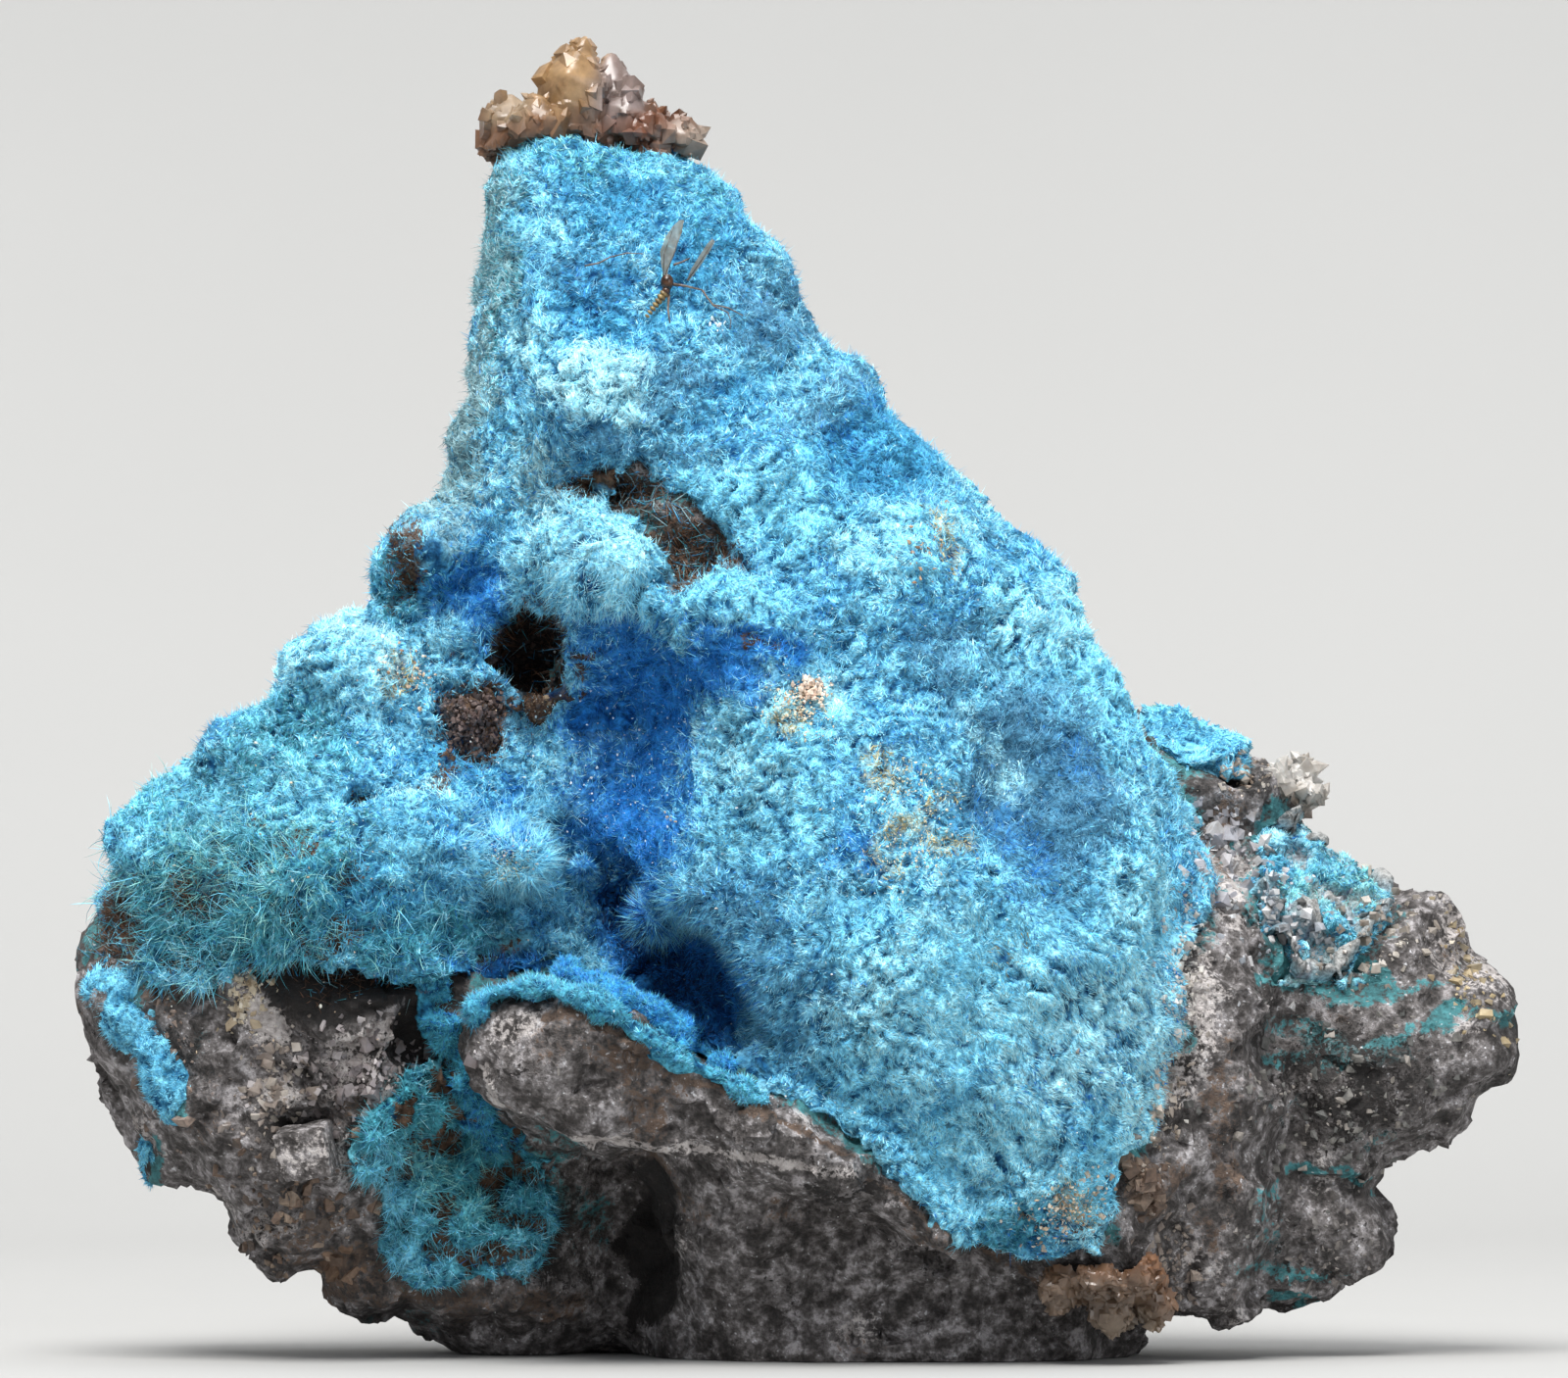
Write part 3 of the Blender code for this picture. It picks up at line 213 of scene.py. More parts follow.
DARK_STAIN_AND_SHADE_ZONES = [
    (-7.95, 16.2, 0.9, 1.2, 0, 1.0), (-6.7, 16.3, 0.6, 0.6, 0, 0.9), (-9.6, 20.1, 0.5, 0.7, -20, 0.5),
    (-10.9, 9.7, 2.3, 0.9, 0, 1.4), (-9.2, 8.4, 0.5, 1.4, 0, 0.9), (-12.4, 6.0, 0.9, 0.35, 0, 1.0),
    (-6.5, 18.0, 0.7, 1.2, 8, 0.8), (-2.6, 20.3, 0.7, 0.5, 28, 0.9), (-4.5, 22.0, 0.9, 0.25, 0, 0.9),
    (-11.4, 7.6, 2.6, 1.2, 0, 0.5), (-8.6, 9.4, 0.7, 0.9, 0, 0.8), (-3.7, 2.6, 0.8, 1.8, -4, 1.3),
    (-3.6, 4.6, 0.7, 0.6, 0, 0.8), (1.6, 4.6, 2.6, 0.5, 24, 0.6), (13.2, 10.9, 0.6, 0.7, 0, 0.9),
    (11.8, 15.0, 0.6, 0.6, 0, 0.8), (14.6, 7.0, 2.6, 2.0, 0, 0.62), (-15.6, 7.4, 0.7, 1.6, 0, 0.6),
    (-12.6, 4.0, 1.2, 0.8, -20, 0.5), (-7.0, 7.4, 1.0, 0.7, 20, 0.4), (14.4, 3.6, 1.2, 1.0, 0, 0.4),
]
PALE_ROCK_ZONES = [
    (-10.4, 8.0, 1.4, 0.6, 0, 1.1), (-13.2, 8.6, 0.8, 0.9, 0, 1.0), (-11.6, 5.4, 1.2, 0.9, 0, 0.6),
    (-12.6, 6.9, 0.7, 0.5, 0, 0.9), (-6.8, 8.6, 0.9, 0.6, -20, 0.55), (-1.4, 5.2, 2.4, 0.3, 12, 0.4),
    (11.4, 12.4, 0.9, 1.4, 0, 0.8), (10.6, 8.6, 0.7, 2.4, 0, 0.7), (17.4, 10.2, 0.8, 1.8, -20, 0.6),
    (-9.8, 17.4, 0.4, 0.3, 0, 0.6), (14.0, 4.2, 1.0, 0.6, 0, 0.4), (12.6, 9.2, 0.9, 0.8, 0, 0.5),
    (9.9, 7.4, 0.7, 1.6, 0, 0.7), (-10.4, 6.9, 1.2, 0.4, 10, 0.9), (-12.9, 3.6, 0.8, 0.5, 0, 0.6),
]
GREEN_ROCK_ZONES = [
    (14.4, 8.0, 2.4, 0.5, 14, 0.8), (15.6, 9.4, 2.2, 0.3, -6, 0.8), (13.4, 6.6, 1.6, 0.5, -20, 0.6),
    (13.2, 2.2, 1.8, 0.4, 10, 0.8), (14.8, 5.6, 1.4, 0.4, 30, 0.6), (17.8, 8.4, 0.9, 0.2, 20, 0.8),
    (-6.0, 5.2, 1.4, 0.9, 0, 0.6), (-5.2, 3.4, 1.0, 1.6, 0, 0.6), (-8.6, 9.2, 0.8, 1.4, 0, 0.7),
    (12.2, 13.2, 1.0, 0.5, -20, 0.7), (-16.6, 9.6, 0.5, 1.6, 0, 0.8), (-15.4, 7.6, 0.6, 1.4, 12, 0.6),
    (12.4, 3.6, 0.5, 1.6, 0, 0.6), (-10.2, 0.9, 2.4, 0.5, 0, 0.5), (9.4, 2.4, 0.8, 0.6, 0, 0.4),
]

# How the needles lie by zone: across, up, half-width, half-height, tilt, strength, then the way they lean
COMBED_ZONES = [
    ((5.6, 8.6, 4.4, 3.4, -35, 0.8), (0.55, -0.45, -0.75)), ((7.4, 8.6, 2.8, 3.8, -30, 1.0), (0.8, -0.1, -0.95)),
    ((0.2, 9.4, 1.6, 2.6, -42, 1.0), (-0.55, -0.35, -0.45)),
    ((-1.0, 14.6, 2.0, 1.8, 0, 0.7), (-0.65, -0.4, -0.35)),
    ((6.6, 17.6, 2.2, 2.2, -30, 0.7), (0.4, -0.4, 0.55)),
    ((-4.6, 20.0, 1.8, 1.6, 0, 0.8), (-0.2, -0.3, -0.75)),
    ((-13.7, 11.4, 3.2, 1.8, 0, 0.3), (-0.3, -0.5, -0.6)),
    ((-6.6, 9.9, 2.2, 0.6, 0, 0.9), (-0.1, -0.4, 0.7)),
]

# Where the felt is streaked, and the streaks' way
STREAKED_ZONES = [(7.4, 8.6, 3.0, 4.0, -30, 1.2), (5.0, 6.2, 2.4, 2.0, -30, 0.8), (6.0, 14.0, 2.0, 2.6, -20, 0.5)]
STREAK = np.array([0.64, 0.0, -0.77])

# Where the needles are long
LONG_ZONES = [
    (-14.0, 11.4, 3.0, 2.2, 0, 0.6), (-8.4, 5.6, 3.0, 3.6, 0, 0.4), (-6.8, 12.8, 1.4, 1.4, 0, 0.6),
    (-3.0, 11.4, 1.0, 1.0, 0, 0.6), (-4.6, 19.6, 1.4, 1.2, 0, 0.4), (-9.4, 10.8, 2.4, 0.8, 0, 0.6),
]

# Where the needles stand up from the felt
STANDING_ZONES = [
    (-14.0, 11.4, 3.0, 2.2, 0, 0.5), (-8.4, 5.6, 3.0, 3.6, 0, 0.6), (-6.8, 12.8, 1.4, 1.4, 0, 1.0),
    (-3.0, 11.4, 1.0, 1.0, 0, 0.9), (-4.8, 19.6, 1.6, 1.2, 0, 0.5), (-1.2, 10.4, 1.0, 2.6, -36, 0.9),
    (-6.2, 9.9, 2.2, 0.5, 0, 0.6), (-3.0, 8.6, 2.4, 0.5, 38, 0.6),
]

# Where the felt is worn in patches
PATCHY_ZONES = [
    (-8.4, 5.2, 3.6, 3.8, 0, 1.0), (-13.4, 11.4, 3.6, 2.4, 0, 1.0), (14.0, 11.6, 2.8, 2.8, 0, 0.8),
    (10.3, 8.6, 0.6, 3.0, 0, 0.9), (7.0, 3.4, 2.0, 1.2, 0, 0.3), (-7.8, 16.6, 1.6, 2.4, 0, 0.6),
    (-13.0, 14.4, 2.4, 1.2, 0, 0.3),
]

# Green and rusty lines on the rock, in pixels of the photo
GREEN_LINES = [
    [(1290, 1000), (1350, 985), (1425, 998)], [(1310, 1090), (1400, 1070), (1480, 1040)],
    [(1515, 1048), (1545, 1055)],
    [(1320, 1195), (1372, 1185), (1400, 1215)], [(100, 900), (104, 980)], [(118, 1012), (150, 1060), (196, 1128)],
    [(150, 1168), (152, 1200)], [(1300, 1325), (1345, 1338)],
]
RUST_LINES = [
    [(560, 1028), (600, 1032), (640, 1056), (700, 1096), (760, 1122), (800, 1136), (870, 1170)],
    [(880, 1190), (960, 1250), (1060, 1310)], [(404, 560), (412, 612)],
]

# The pale lower edge of the ledge, in pixels of the photo
PALE_EDGES = [[(497, 1090), (508, 1124), (524, 1150), (552, 1166), (600, 1164), (645, 1166), (700, 1170),
              (780, 1180), (870, 1192)]]

# Where the rock is broken in blocks, swells or is hollow: across, up, half-width, half-height, tilt, height
BROKEN_ZONES = [(-11.4, 7.4, 3.0, 2.4, 0, 1.0), (12.4, 11.8, 1.6, 3.0, 0, 1.0), (9.8, 8.0, 1.0, 4.0, 0, 0.8),
                (-13.0, 4.0, 1.6, 1.6, 0, 0.8)]
ROCK_BULGES = [
    (18.4, 8.4, 1.4, 1.8, 0, 0.75), (17.2, 11.4, 1.2, 1.0, 0, 0.45), (-17.9, 10.2, 0.8, 1.8, 0, 0.35),
    (-13.6, 2.6, 1.8, 1.1, -35, 0.75), (-11.0, 1.5, 1.4, 0.7, -20, 0.5), (15.7, 3.0, 0.8, 1.4, 0, 0.3),
]
ROCK_PITS = [
    (-6.5, 18.1, 0.6, 1.0, 8, 0.7), (-2.3, 20.5, 0.9, 0.6, 28, 0.5), (-4.3, 22.1, 1.3, 0.35, -4, 0.5),
    (-3.8, 3.2, 0.8, 2.0, -4, 0.5), (-10.9, 9.9, 2.0, 0.5, 0, 0.9), (-9.3, 8.2, 0.4, 1.2, 0, 0.5),
    (-12.0, 6.1, 1.0, 0.3, 0, 0.6), (13.1, 10.9, 0.5, 0.6, 0, 0.5), (11.8, 15.2, 0.5, 0.6, 0, 0.9),
]

# The white vein and the fine cracks, in pixels of the photo
VEINS = [[(562, 1072), (571, 1080), (576, 1093), (576, 1108), (570, 1122), (574, 1132)]]
CRACKS = [[(520, 978), (526, 1004), (522, 1016), (530, 1032), (524, 1062)], [(300, 1056), (350, 1048), (420, 1060)],
          [(700, 1180), (760, 1240)]]

# Fluffy tufts: their middle in pixels of the photo, radius and needles' length
TUFTS = [((528, 879), 0.95, 0.20), ((597, 884), 0.34, 0.16), ((664, 931), 0.55, 0.26), ((333, 958), 0.14, 0.18)]

# The rim of velvet along the ledge's top edge, in pixels of the photo, and its kinds with their shares
RIM = [(486, 1040), (491, 1026), (506, 1012), (534, 1004), (567, 1006), (602, 1013), (627, 1028), (653, 1049),
       (681, 1067), (715, 1086), (756, 1107), (782, 1120)]
RIM_KINDS = {"azure": 0.34, "teal": 0.44, "sky": 0.06, "steel": 0.16}

# Strips of velvet on bare rock: a line in pixels of the photo, the radius of the strip's section, and kinds with
# their shares
STRIPS = [
    ("left_strip", [(112, 1004), (128, 1024), (150, 1046), (172, 1070), (180, 1096), (192, 1126)], 0.75,
     {"sky": 0.55, "azure": 0.35, "steel": 0.1}),
    ("left_edge_strip", [(116, 890), (112, 915), (111, 940), (114, 975), (118, 1004)], 0.22,
     {"sky": 0.6, "azure": 0.4}),
    ("flank_strip", [(1305, 1000), (1330, 1004), (1352, 1000), (1385, 1002), (1410, 994), (1432, 984)], 0.32,
     {"sky": 0.4, "mint": 0.35, "ice": 0.25}),
    ("flank_edge_strip", [(1508, 1044), (1526, 1050), (1540, 1056)], 0.22, {"sky": 0.6, "mint": 0.4}),
    ("rim_back", [(585, 996), (620, 1006), (650, 1026), (680, 1048), (712, 1068), (745, 1090)], 0.42,
     {"deep": 0.45, "azure": 0.35, "teal": 0.2}),
    ("nose_strip", [(438, 984), (450, 1012), (458, 1045), (466, 1080), (478, 1112), (500, 1146), (540, 1172)], 0.62,
     {"teal": 0.55, "azure": 0.3, "deep": 0.15}),
    ("low_strip", [(148, 1164), (150, 1182), (154, 1198)], 0.34, {"azure": 0.6, "sky": 0.4}),
]

# Where the felt swells towards the viewer or sinks: across, up, half-width, half-height, tilt, height
SWELLS = [
    (-4.9, 20.2, 1.5, 1.4, 0, 0.7), (-1.7, 19.1, 1.1, 0.7, 0, 0.5), (-5.2, 24.8, 1.3, 1.0, 0, 0.35),
    (-1.0, 22.4, 1.2, 0.9, 0, 0.3), (3.6, 20.4, 1.8, 1.6, -30, 0.25), (-9.6, 13.2, 1.8, 1.1, 0, 0.35),
    (-11.0, 17.8, 1.0, 0.9, 0, 0.4), (-8.6, 20.6, 1.3, 0.8, 0, 0.4), (5.4, 9.4, 3.0, 1.8, -30, 0.3),
    (-1.9, 31.3, 1.0, 0.8, 0, 0.45), (2.2, 25.2, 1.1, 1.0, -40, 0.5), (6.7, 20.3, 1.2, 1.3, -40, 0.5),
    (-5.9, 31.6, 0.5, 0.9, 0, 0.6), (0.2, 28.2, 0.8, 0.8, 0, 0.2),
]
HOLLOWS = [
    (-6.5, 18.1, 0.6, 1.0, 8, 0.9), (-4.3, 22.1, 1.2, 0.3, -4, 0.3), (-7.2, 10.6, 0.6, 0.3, 0, 0.5),
    (-10.9, 14.4, 0.45, 0.2, -15, 0.5), (6.4, 14.0, 1.6, 2.0, -20, 0.3), (0.8, 11.4, 1.2, 0.8, -30, 0.25),
    (-8.0, 16.2, 0.6, 0.9, 0, 0.4), (-3.9, 16.4, 1.4, 0.9, 0, 0.3), (-14.6, 15.6, 2.6, 1.0, 40, 0.25),
    (-8.3, 26.4, 0.5, 2.6, 8, 0.2), (13.1, 10.9, 0.5, 0.6, 0, 0.2),
]

# How little the crumbs of the felt rise, by kind
SMOOTHNESS = {"deep": 0.9, "steel": 0.8, "mist": 0.9, "azure": 0.4, "teal": 0.3, "mint": 0.2}

# Each piece of needles: its slot, the first and last number of its crusts and its lowest and highest corner,
# first come first served
NEEDLE_PIECES = [
    ("spire_front_needles", "blue_velvet", 0, 2, (-20, -20, 19.6), (20, 0, 40)),
    ("spire_back_needles", "blue_velvet", 0, 2, (-20, -20, 19.6), (20, 20, 40)),
    ("shoulder_needles", "blue_velvet", 0, 2, (-20, -20, 0), (-7.2, 20, 40)),
    ("valley_needles", "blue_velvet", 0, 2, (-20, -20, 0), (-0.6, 20, 40)),
    ("slab_needles", "blue_velvet", 0, 2, (-20, -20, 13.0), (20, 20, 40)),
    ("slab_middle_needles", "blue_velvet", 0, 2, (-20, -20, 7.4), (20, 20, 40)),
    ("slab_foot_needles", "blue_velvet", 0, 2, (-20, -20, -5), (20, 20, 40)),
    ("foot_needles", "teal_velvet", 3, 3, (-20, -20, -5), (20, 20, 40)),
    ("peak_needles", "teal_velvet", 4, 4, (-20, -20, -5), (20, 20, 40)),
    ("flank_needles", "teal_velvet", 5, 5, (-20, -20, -5), (20, 20, 40)),
    ("rim_and_tuft_needles", "blue_velvet", 6, 40, (-20, -20, -5), (20, 20, 40)),
]

# Bare windows in the velvet, crossed by fibres: across, up, half-width, half-height, tilt, strength
WINDOW_ZONES = [
    (-4.3, 22.15, 1.5, 0.5, -4, 1.0), (-2.3, 20.5, 1.2, 1.0, 28, 1.0), (-6.5, 18.2, 0.8, 1.2, 8, 0.5),
    (-7.95, 16.2, 0.9, 1.0, 0, 0.9), (-6.7, 15.9, 0.6, 0.6, 0, 0.8), (-16.8, 11.2, 0.7, 1.2, 8, 0.9),
    (-3.0, 22.0, 0.8, 0.6, 0, 0.8), (-9.6, 20.1, 0.6, 0.8, -20, 0.7), (-10.9, 9.9, 2.0, 0.4, 0, 0.35),
]

# Long curved needles over the shoulder: their number, kinds with shares, and zones
THREADS = 2000
THREAD_KINDS = {"mint": 0.3, "teal": 0.38, "sky": 0.32}
THREAD_ZONES = [(-14.0, 12.0, 3.2, 2.4, 0, 1.0), (-10.4, 11.6, 2.0, 1.2, 0, 0.5), (-8.0, 5.6, 2.4, 2.6, 0, 0.15)]
# Fibres in the bare windows: their number, and kinds with shares
FIBRES = 6500
FIBRE_KINDS = {"bark": 0.70, "steel": 0.09, "teal": 0.08, "mist": 0.07, "azure": 0.06}

# Grains and dust: zone in the view, count, least and greatest size, colours
GRAINS = [
    ((0.7, 17.1, 0.35, 0.28, 0, 1.0), 130, (0.03, 0.10), [(228, 206, 188), (214, 186, 166), (236, 220, 206)]),
    ((0.4, 16.6, 0.8, 0.6, 20, 1.0), 200, (0.02, 0.05), [(226, 214, 184), (218, 202, 174)]),
    ((2.9, 14.6, 1.2, 0.5, -20, 1.0), 200, (0.015, 0.04), [(212, 206, 174), (222, 214, 186), (208, 198, 164)]),
    ((3.4, 13.2, 1.3, 0.8, -30, 1.0), 300, (0.015, 0.04), [(212, 206, 174), (222, 214, 186), (220, 206, 180)]),
    ((3.9, 20.9, 0.6, 0.9, 20, 1.0), 60, (0.02, 0.07), [(150, 114, 86), (180, 148, 118)]),
    ((7.0, 4.0, 1.0, 0.6, -30, 1.0), 160, (0.02, 0.06), [(226, 214, 196), (206, 184, 156), (180, 150, 122)]),
    ((-9.6, 17.5, 0.8, 0.6, 30, 1.0), 100, (0.02, 0.06), [(224, 214, 198), (200, 176, 150), (170, 130, 100)]),
    ((-6.8, 12.9, 0.7, 0.5, 0, 1.0), 60, (0.02, 0.05), [(226, 206, 190), (214, 188, 168)]),
    ((-4.0, 15.6, 2.4, 3.6, 0, 1.0), 220, (0.015, 0.04), [(206, 232, 244), (226, 240, 246), (240, 246, 250)]),
    ((2.0, 14.0, 10.0, 12.0, 0, 1.0), 420, (0.012, 0.03), [(236, 240, 240), (226, 224, 216), (214, 208, 198)]),
    ((-1.7, 26.4, 0.2, 0.2, 0, 1.0), 16, (0.03, 0.08), [(226, 238, 242)]),
    ((-12.0, 13.5, 5.0, 3.6, 0, 1.0), 160, (0.015, 0.05), [(226, 226, 216), (196, 176, 150)]),
    ((-2.9, 13.8, 0.2, 0.2, 0, 1.0), 6, (0.04, 0.07), [(222, 196, 160)]),
]

# Blocks of quartz and rock grown into the surface: zone in the view, count, least and greatest size, colours. On
# the left they grow only on bare rock, save where the zone's strength says that they are also on felt.
ALSO_ON_FELT = 2.0
PALE_BLOCKS = [
    ((-10.6, 7.3, 1.9, 1.1, 0, 1.0), 190, (0.10, 0.50),
     [(186, 178, 182), (150, 143, 146), (122, 116, 119), (206, 200, 202)]),
    ((-13.0, 7.0, 0.9, 1.3, 20, 1.0), 80, (0.12, 0.5), [(176, 164, 156), (140, 130, 124), (196, 188, 180)]),
    ((-13.7, 9.4, 0.45, 0.9, 10, 1.0), 90, (0.10, 0.42), [(214, 202, 178), (190, 174, 148), (224, 218, 204)]),
    ((10.2, 9.9, 0.6, 1.6, 0, 1.0), 200, (0.08, 0.32), [(218, 214, 210), (192, 188, 186), (230, 228, 224)]),
    ((9.6, 6.6, 0.5, 1.4, 10, 1.0), 90, (0.10, 0.36), [(208, 196, 184), (184, 172, 162)]),
    ((11.2, 13.0, 0.9, 1.1, 0, 1.0), 110, (0.15, 0.60), [(196, 196, 204), (228, 226, 228), (160, 160, 168)]),
    ((12.8, 11.2, 1.5, 1.4, 0, 1.0), 110, (0.12, 0.45), [(186, 192, 202), (158, 166, 176), (218, 220, 224)]),
    ((15.4, 10.8, 1.8, 1.0, -30, 1.0), 90, (0.10, 0.40), [(196, 190, 182), (164, 156, 148)]),
    ((17.6, 9.8, 0.6, 1.5, -20, 1.0), 60, (0.12, 0.45), [(186, 168, 132), (170, 156, 128)]),
    ((12.0, 15.0, 0.8, 0.5, 0, 1.0), 60, (0.10, 0.40), [(176, 160, 146), (206, 200, 192)]),
    ((7.2, 4.0, 1.1, 0.6, -30, 1.0), 90, (0.08, 0.30), [(222, 206, 186), (196, 172, 146), (226, 220, 210)]),
    ((-9.6, 17.4, 0.6, 0.4, 30, 1.0), 60, (0.08, 0.28), [(226, 216, 204), (200, 182, 160)]),
    ((0.5, 17.0, 0.35, 0.35, 0, 1.0), 34, (0.08, 0.24), [(226, 190, 160), (214, 170, 136)]),
]
BROWN_BLOCKS = [
    ((-7.95, 16.2, 0.7, 0.9, 10, 2.0), 420, (0.05, 0.20),
     [(62, 48, 46), (88, 72, 68), (44, 36, 36), (112, 96, 92)]),
    ((-6.3, 16.7, 0.35, 0.6, 20, 2.0), 120, (0.05, 0.18),
     [(74, 56, 46), (104, 84, 68), (50, 40, 34), (150, 130, 104)]),
    ((-6.5, 18.1, 0.7, 1.2, 8, 1.0), 160, (0.06, 0.24), [(52, 36, 32), (36, 28, 26), (76, 56, 48)]),
    ((-2.3, 20.6, 1.2, 0.9, 28, 1.0), 160, (0.05, 0.20), [(74, 52, 38), (104, 76, 56), (48, 34, 26)]),
    ((-12.2, 3.9, 2.2, 1.6, -30, 1.0), 150, (0.12, 0.55), [(112, 92, 78), (142, 124, 108), (82, 70, 62)]),
    ((-11.3, 2.4, 0.4, 0.35, 0, 1.0), 6, (0.5, 0.9), [(96, 76, 62), (122, 98, 80)]),
    ((9.2, 4.6, 0.5, 0.7, 0, 1.0), 40, (0.15, 0.6), [(88, 70, 58), (116, 98, 84)]),
    ((9.8, 2.6, 0.8, 1.4, 0, 1.0), 60, (0.12, 0.45), [(150, 138, 128), (124, 112, 104)]),
    ((14.2, 6.4, 3.0, 2.4, 0, 1.0), 160, (0.12, 0.45), [(110, 108, 104), (84, 84, 82), (134, 128, 122)]),
    ((13.8, 2.6, 1.6, 1.2, 0, 1.0), 60, (0.12, 0.45), [(118, 112, 108), (92, 88, 86)]),
    ((-15.8, 7.6, 0.7, 2.4, 0, 1.0), 60, (0.12, 0.45), [(136, 120, 110), (106, 90, 80)]),
    ((-14.9, 10.6, 0.7, 0.8, 0, 1.0), 50, (0.10, 0.40), [(104, 74, 54), (70, 52, 42)]),
]

# The quartz's tints, as screen colours, and each cluster's zones with their tints
HONEY, BROWN, PINK = (218, 180, 130), (160, 118, 88), (194, 178, 176)
CREAM, REDDISH, CLEAR = (220, 208, 194), (164, 110, 86), (252, 251, 248)
TAN, UMBER, SAND = (214, 190, 158), (140, 122, 106), (188, 172, 152)
QUARTZ_TINTS = {
    "tip_quartz": [((-5.7, 33.0, 0.9, 1.1, 0, 1.0), HONEY), ((-7.1, 32.0, 0.5, 0.5, 0, 1.0), TAN),
                   ((-7.4, 30.9, 0.6, 0.6, 0, 1.0), BROWN),
                   ((-4.3, 32.4, 0.6, 0.9, 0, 1.0), PINK), ((-3.6, 31.4, 1.3, 0.5, 0, 1.0), REDDISH),
                   ((-2.6, 31.3, 0.7, 0.4, 0, 0.9), CREAM),
                   ((-5.6, 31.6, 0.9, 0.4, 0, 0.8), BROWN)],
    "peak_quartz": [((12.9, 15.2, 1.3, 1.2, 0, 1.6), CLEAR), ((12.7, 14.3, 0.7, 0.4, 0, 0.7), TAN)],
    "corner_quartz": [((7.4, 1.2, 2.2, 1.0, 0, 0.7), UMBER), ((8.6, 0.6, 1.0, 0.7, 0, 0.8), SAND)],
}

# Each stretch of crust: its node, its piece, its slot and its lowest and highest corner
CRUSTS = [
    ("blue_crust", "spire_felt", "blue_velvet", (-FAR, -FAR, 18.4), (FAR, FAR, FAR)),
    ("blue_crust", "shoulder_felt", "blue_velvet", (-FAR, -FAR, -FAR), (-2.0, FAR, 18.6)),
    ("blue_crust", "slab_felt", "blue_velvet", (-2.2, -FAR, -FAR), (FAR, FAR, 18.6)),
    ("foot_crust", "foot_felt", "teal_velvet", (-FAR, -FAR, -FAR), (FAR, FAR, FAR)),
    ("peak_crust", "peak_felt", "teal_velvet", (-FAR, -FAR, -FAR), (FAR, FAR, FAR)),
    ("flank_crust", "flank_felt", "teal_velvet", (-FAR, -FAR, -FAR), (FAR, FAR, FAR)),
]
# How deep the worn places of the thinner crusts sink
SINKS = {"foot_felt": 0.4, "flank_felt": 0.46}

# The square crystal: its pixel, its sides and the strength of each stain on it
CRYSTAL_PIXEL = (316, 1172)
CRYSTAL_SIZE = (1.34, 1.2, 1.24)
CRYSTAL_STAINS = {"green": 0.0, "rust": 0.05, "dark": 0.1, "pale": 0.30, "vein": 5.0, "crack": 5.0}

# The gnat's legs, each a line in pixels of the photo and a radius
GNAT_LEGS = [
    ([(686, 292), (700, 294), (717, 298)], 0.045),
    ([(717, 298), (722, 306), (728, 313), (743, 316), (758, 324)], 0.028),
    ([(717, 299), (728, 314), (743, 321), (746, 329), (745, 338)], 0.022),
    ([(688, 272), (696, 269), (704, 265)], 0.035),
    ([(683, 303), (682, 318), (684, 332)], 0.038),
    ([(597, 273), (612, 270), (623, 264), (640, 260), (657, 261)], 0.026),
]
# The gnat's wings: outline and veins in pixels of the photo, and how far the wing leans forward as it rises
GNAT_WINGS = [
    ([(678, 286), (675, 272), (674, 259), (679, 245), (687, 233), (694, 227), (698, 227), (696, 240), (690, 256),
      (684, 271), (681, 284)],
     [[(678, 285), (688, 262), (698, 228)], [(677, 284), (678, 262), (688, 234)]], 0.12),
    ([(701, 288), (706, 276), (714, 263), (722, 251), (727, 246), (730, 249), (725, 258), (718, 269), (710, 280),
      (703, 289)],
     [[(702, 288), (716, 268), (729, 247)]], 0.25),
]


def from_picture(px, py):
    """Across and up, from a pixel of the photo."""
    return (px - FOOT_PIXEL[0]) * PIXEL, (FOOT_PIXEL[1] - py) * PIXEL


def rgb(red, green, blue):
    """A screen colour, 0 to 255, as the linear colour that a shader takes."""
    screen = np.array([red, green, blue]) / 255
    linear = np.where(screen > 0.04045, ((screen + 0.055) / 1.055) ** 2.4, screen / 12.92)
    return (*linear.tolist(), 1.0)


def linear(colour):
    """A screen colour as linear red, green and blue."""
    return np.array(rgb(*colour)[:3])


def blend(colours, colour, shares):
    """Colours, each turned to a screen colour by its own share."""
    shares = shares[:, None]
    return colours * (1.0 - shares) + shares * linear(colour)


def clamp(values):
    """Values kept from 0 to 1."""
    return np.clip(values, 0.0, 1.0)


def in_front(points, depth, fade):
    """1 well in front of a depth and 0 behind it, with a fade between."""
    return clamp((depth - points[:, 1]) / fade)


def turned(zone, x, z):
    """Across and up of a place that is given from a zone's middle, along its own tilted sides."""
    across, up, _, _, tilt, _ = zone
    cosine, sine = math.cos(math.radians(tilt)), math.sin(math.radians(tilt))
    return across + x * cosine + z * sine, up - x * sine + z * cosine


def in_zones(points, zones):
    """How strongly each point lies in a list of zones, from 0 to 1."""
    share = np.zeros(len(points))
    for across, up, wide, high, tilt, strength in zones:
        cosine, sine = math.cos(math.radians(tilt)), math.sin(math.radians(tilt))
        x, z = points[:, 0] - across, points[:, 2] - up
        out = ((x * cosine - z * sine) / wide) ** 2 + ((x * sine + z * cosine) / high) ** 2
        share = np.maximum(share, strength * np.exp(-out ** 2))
    return share


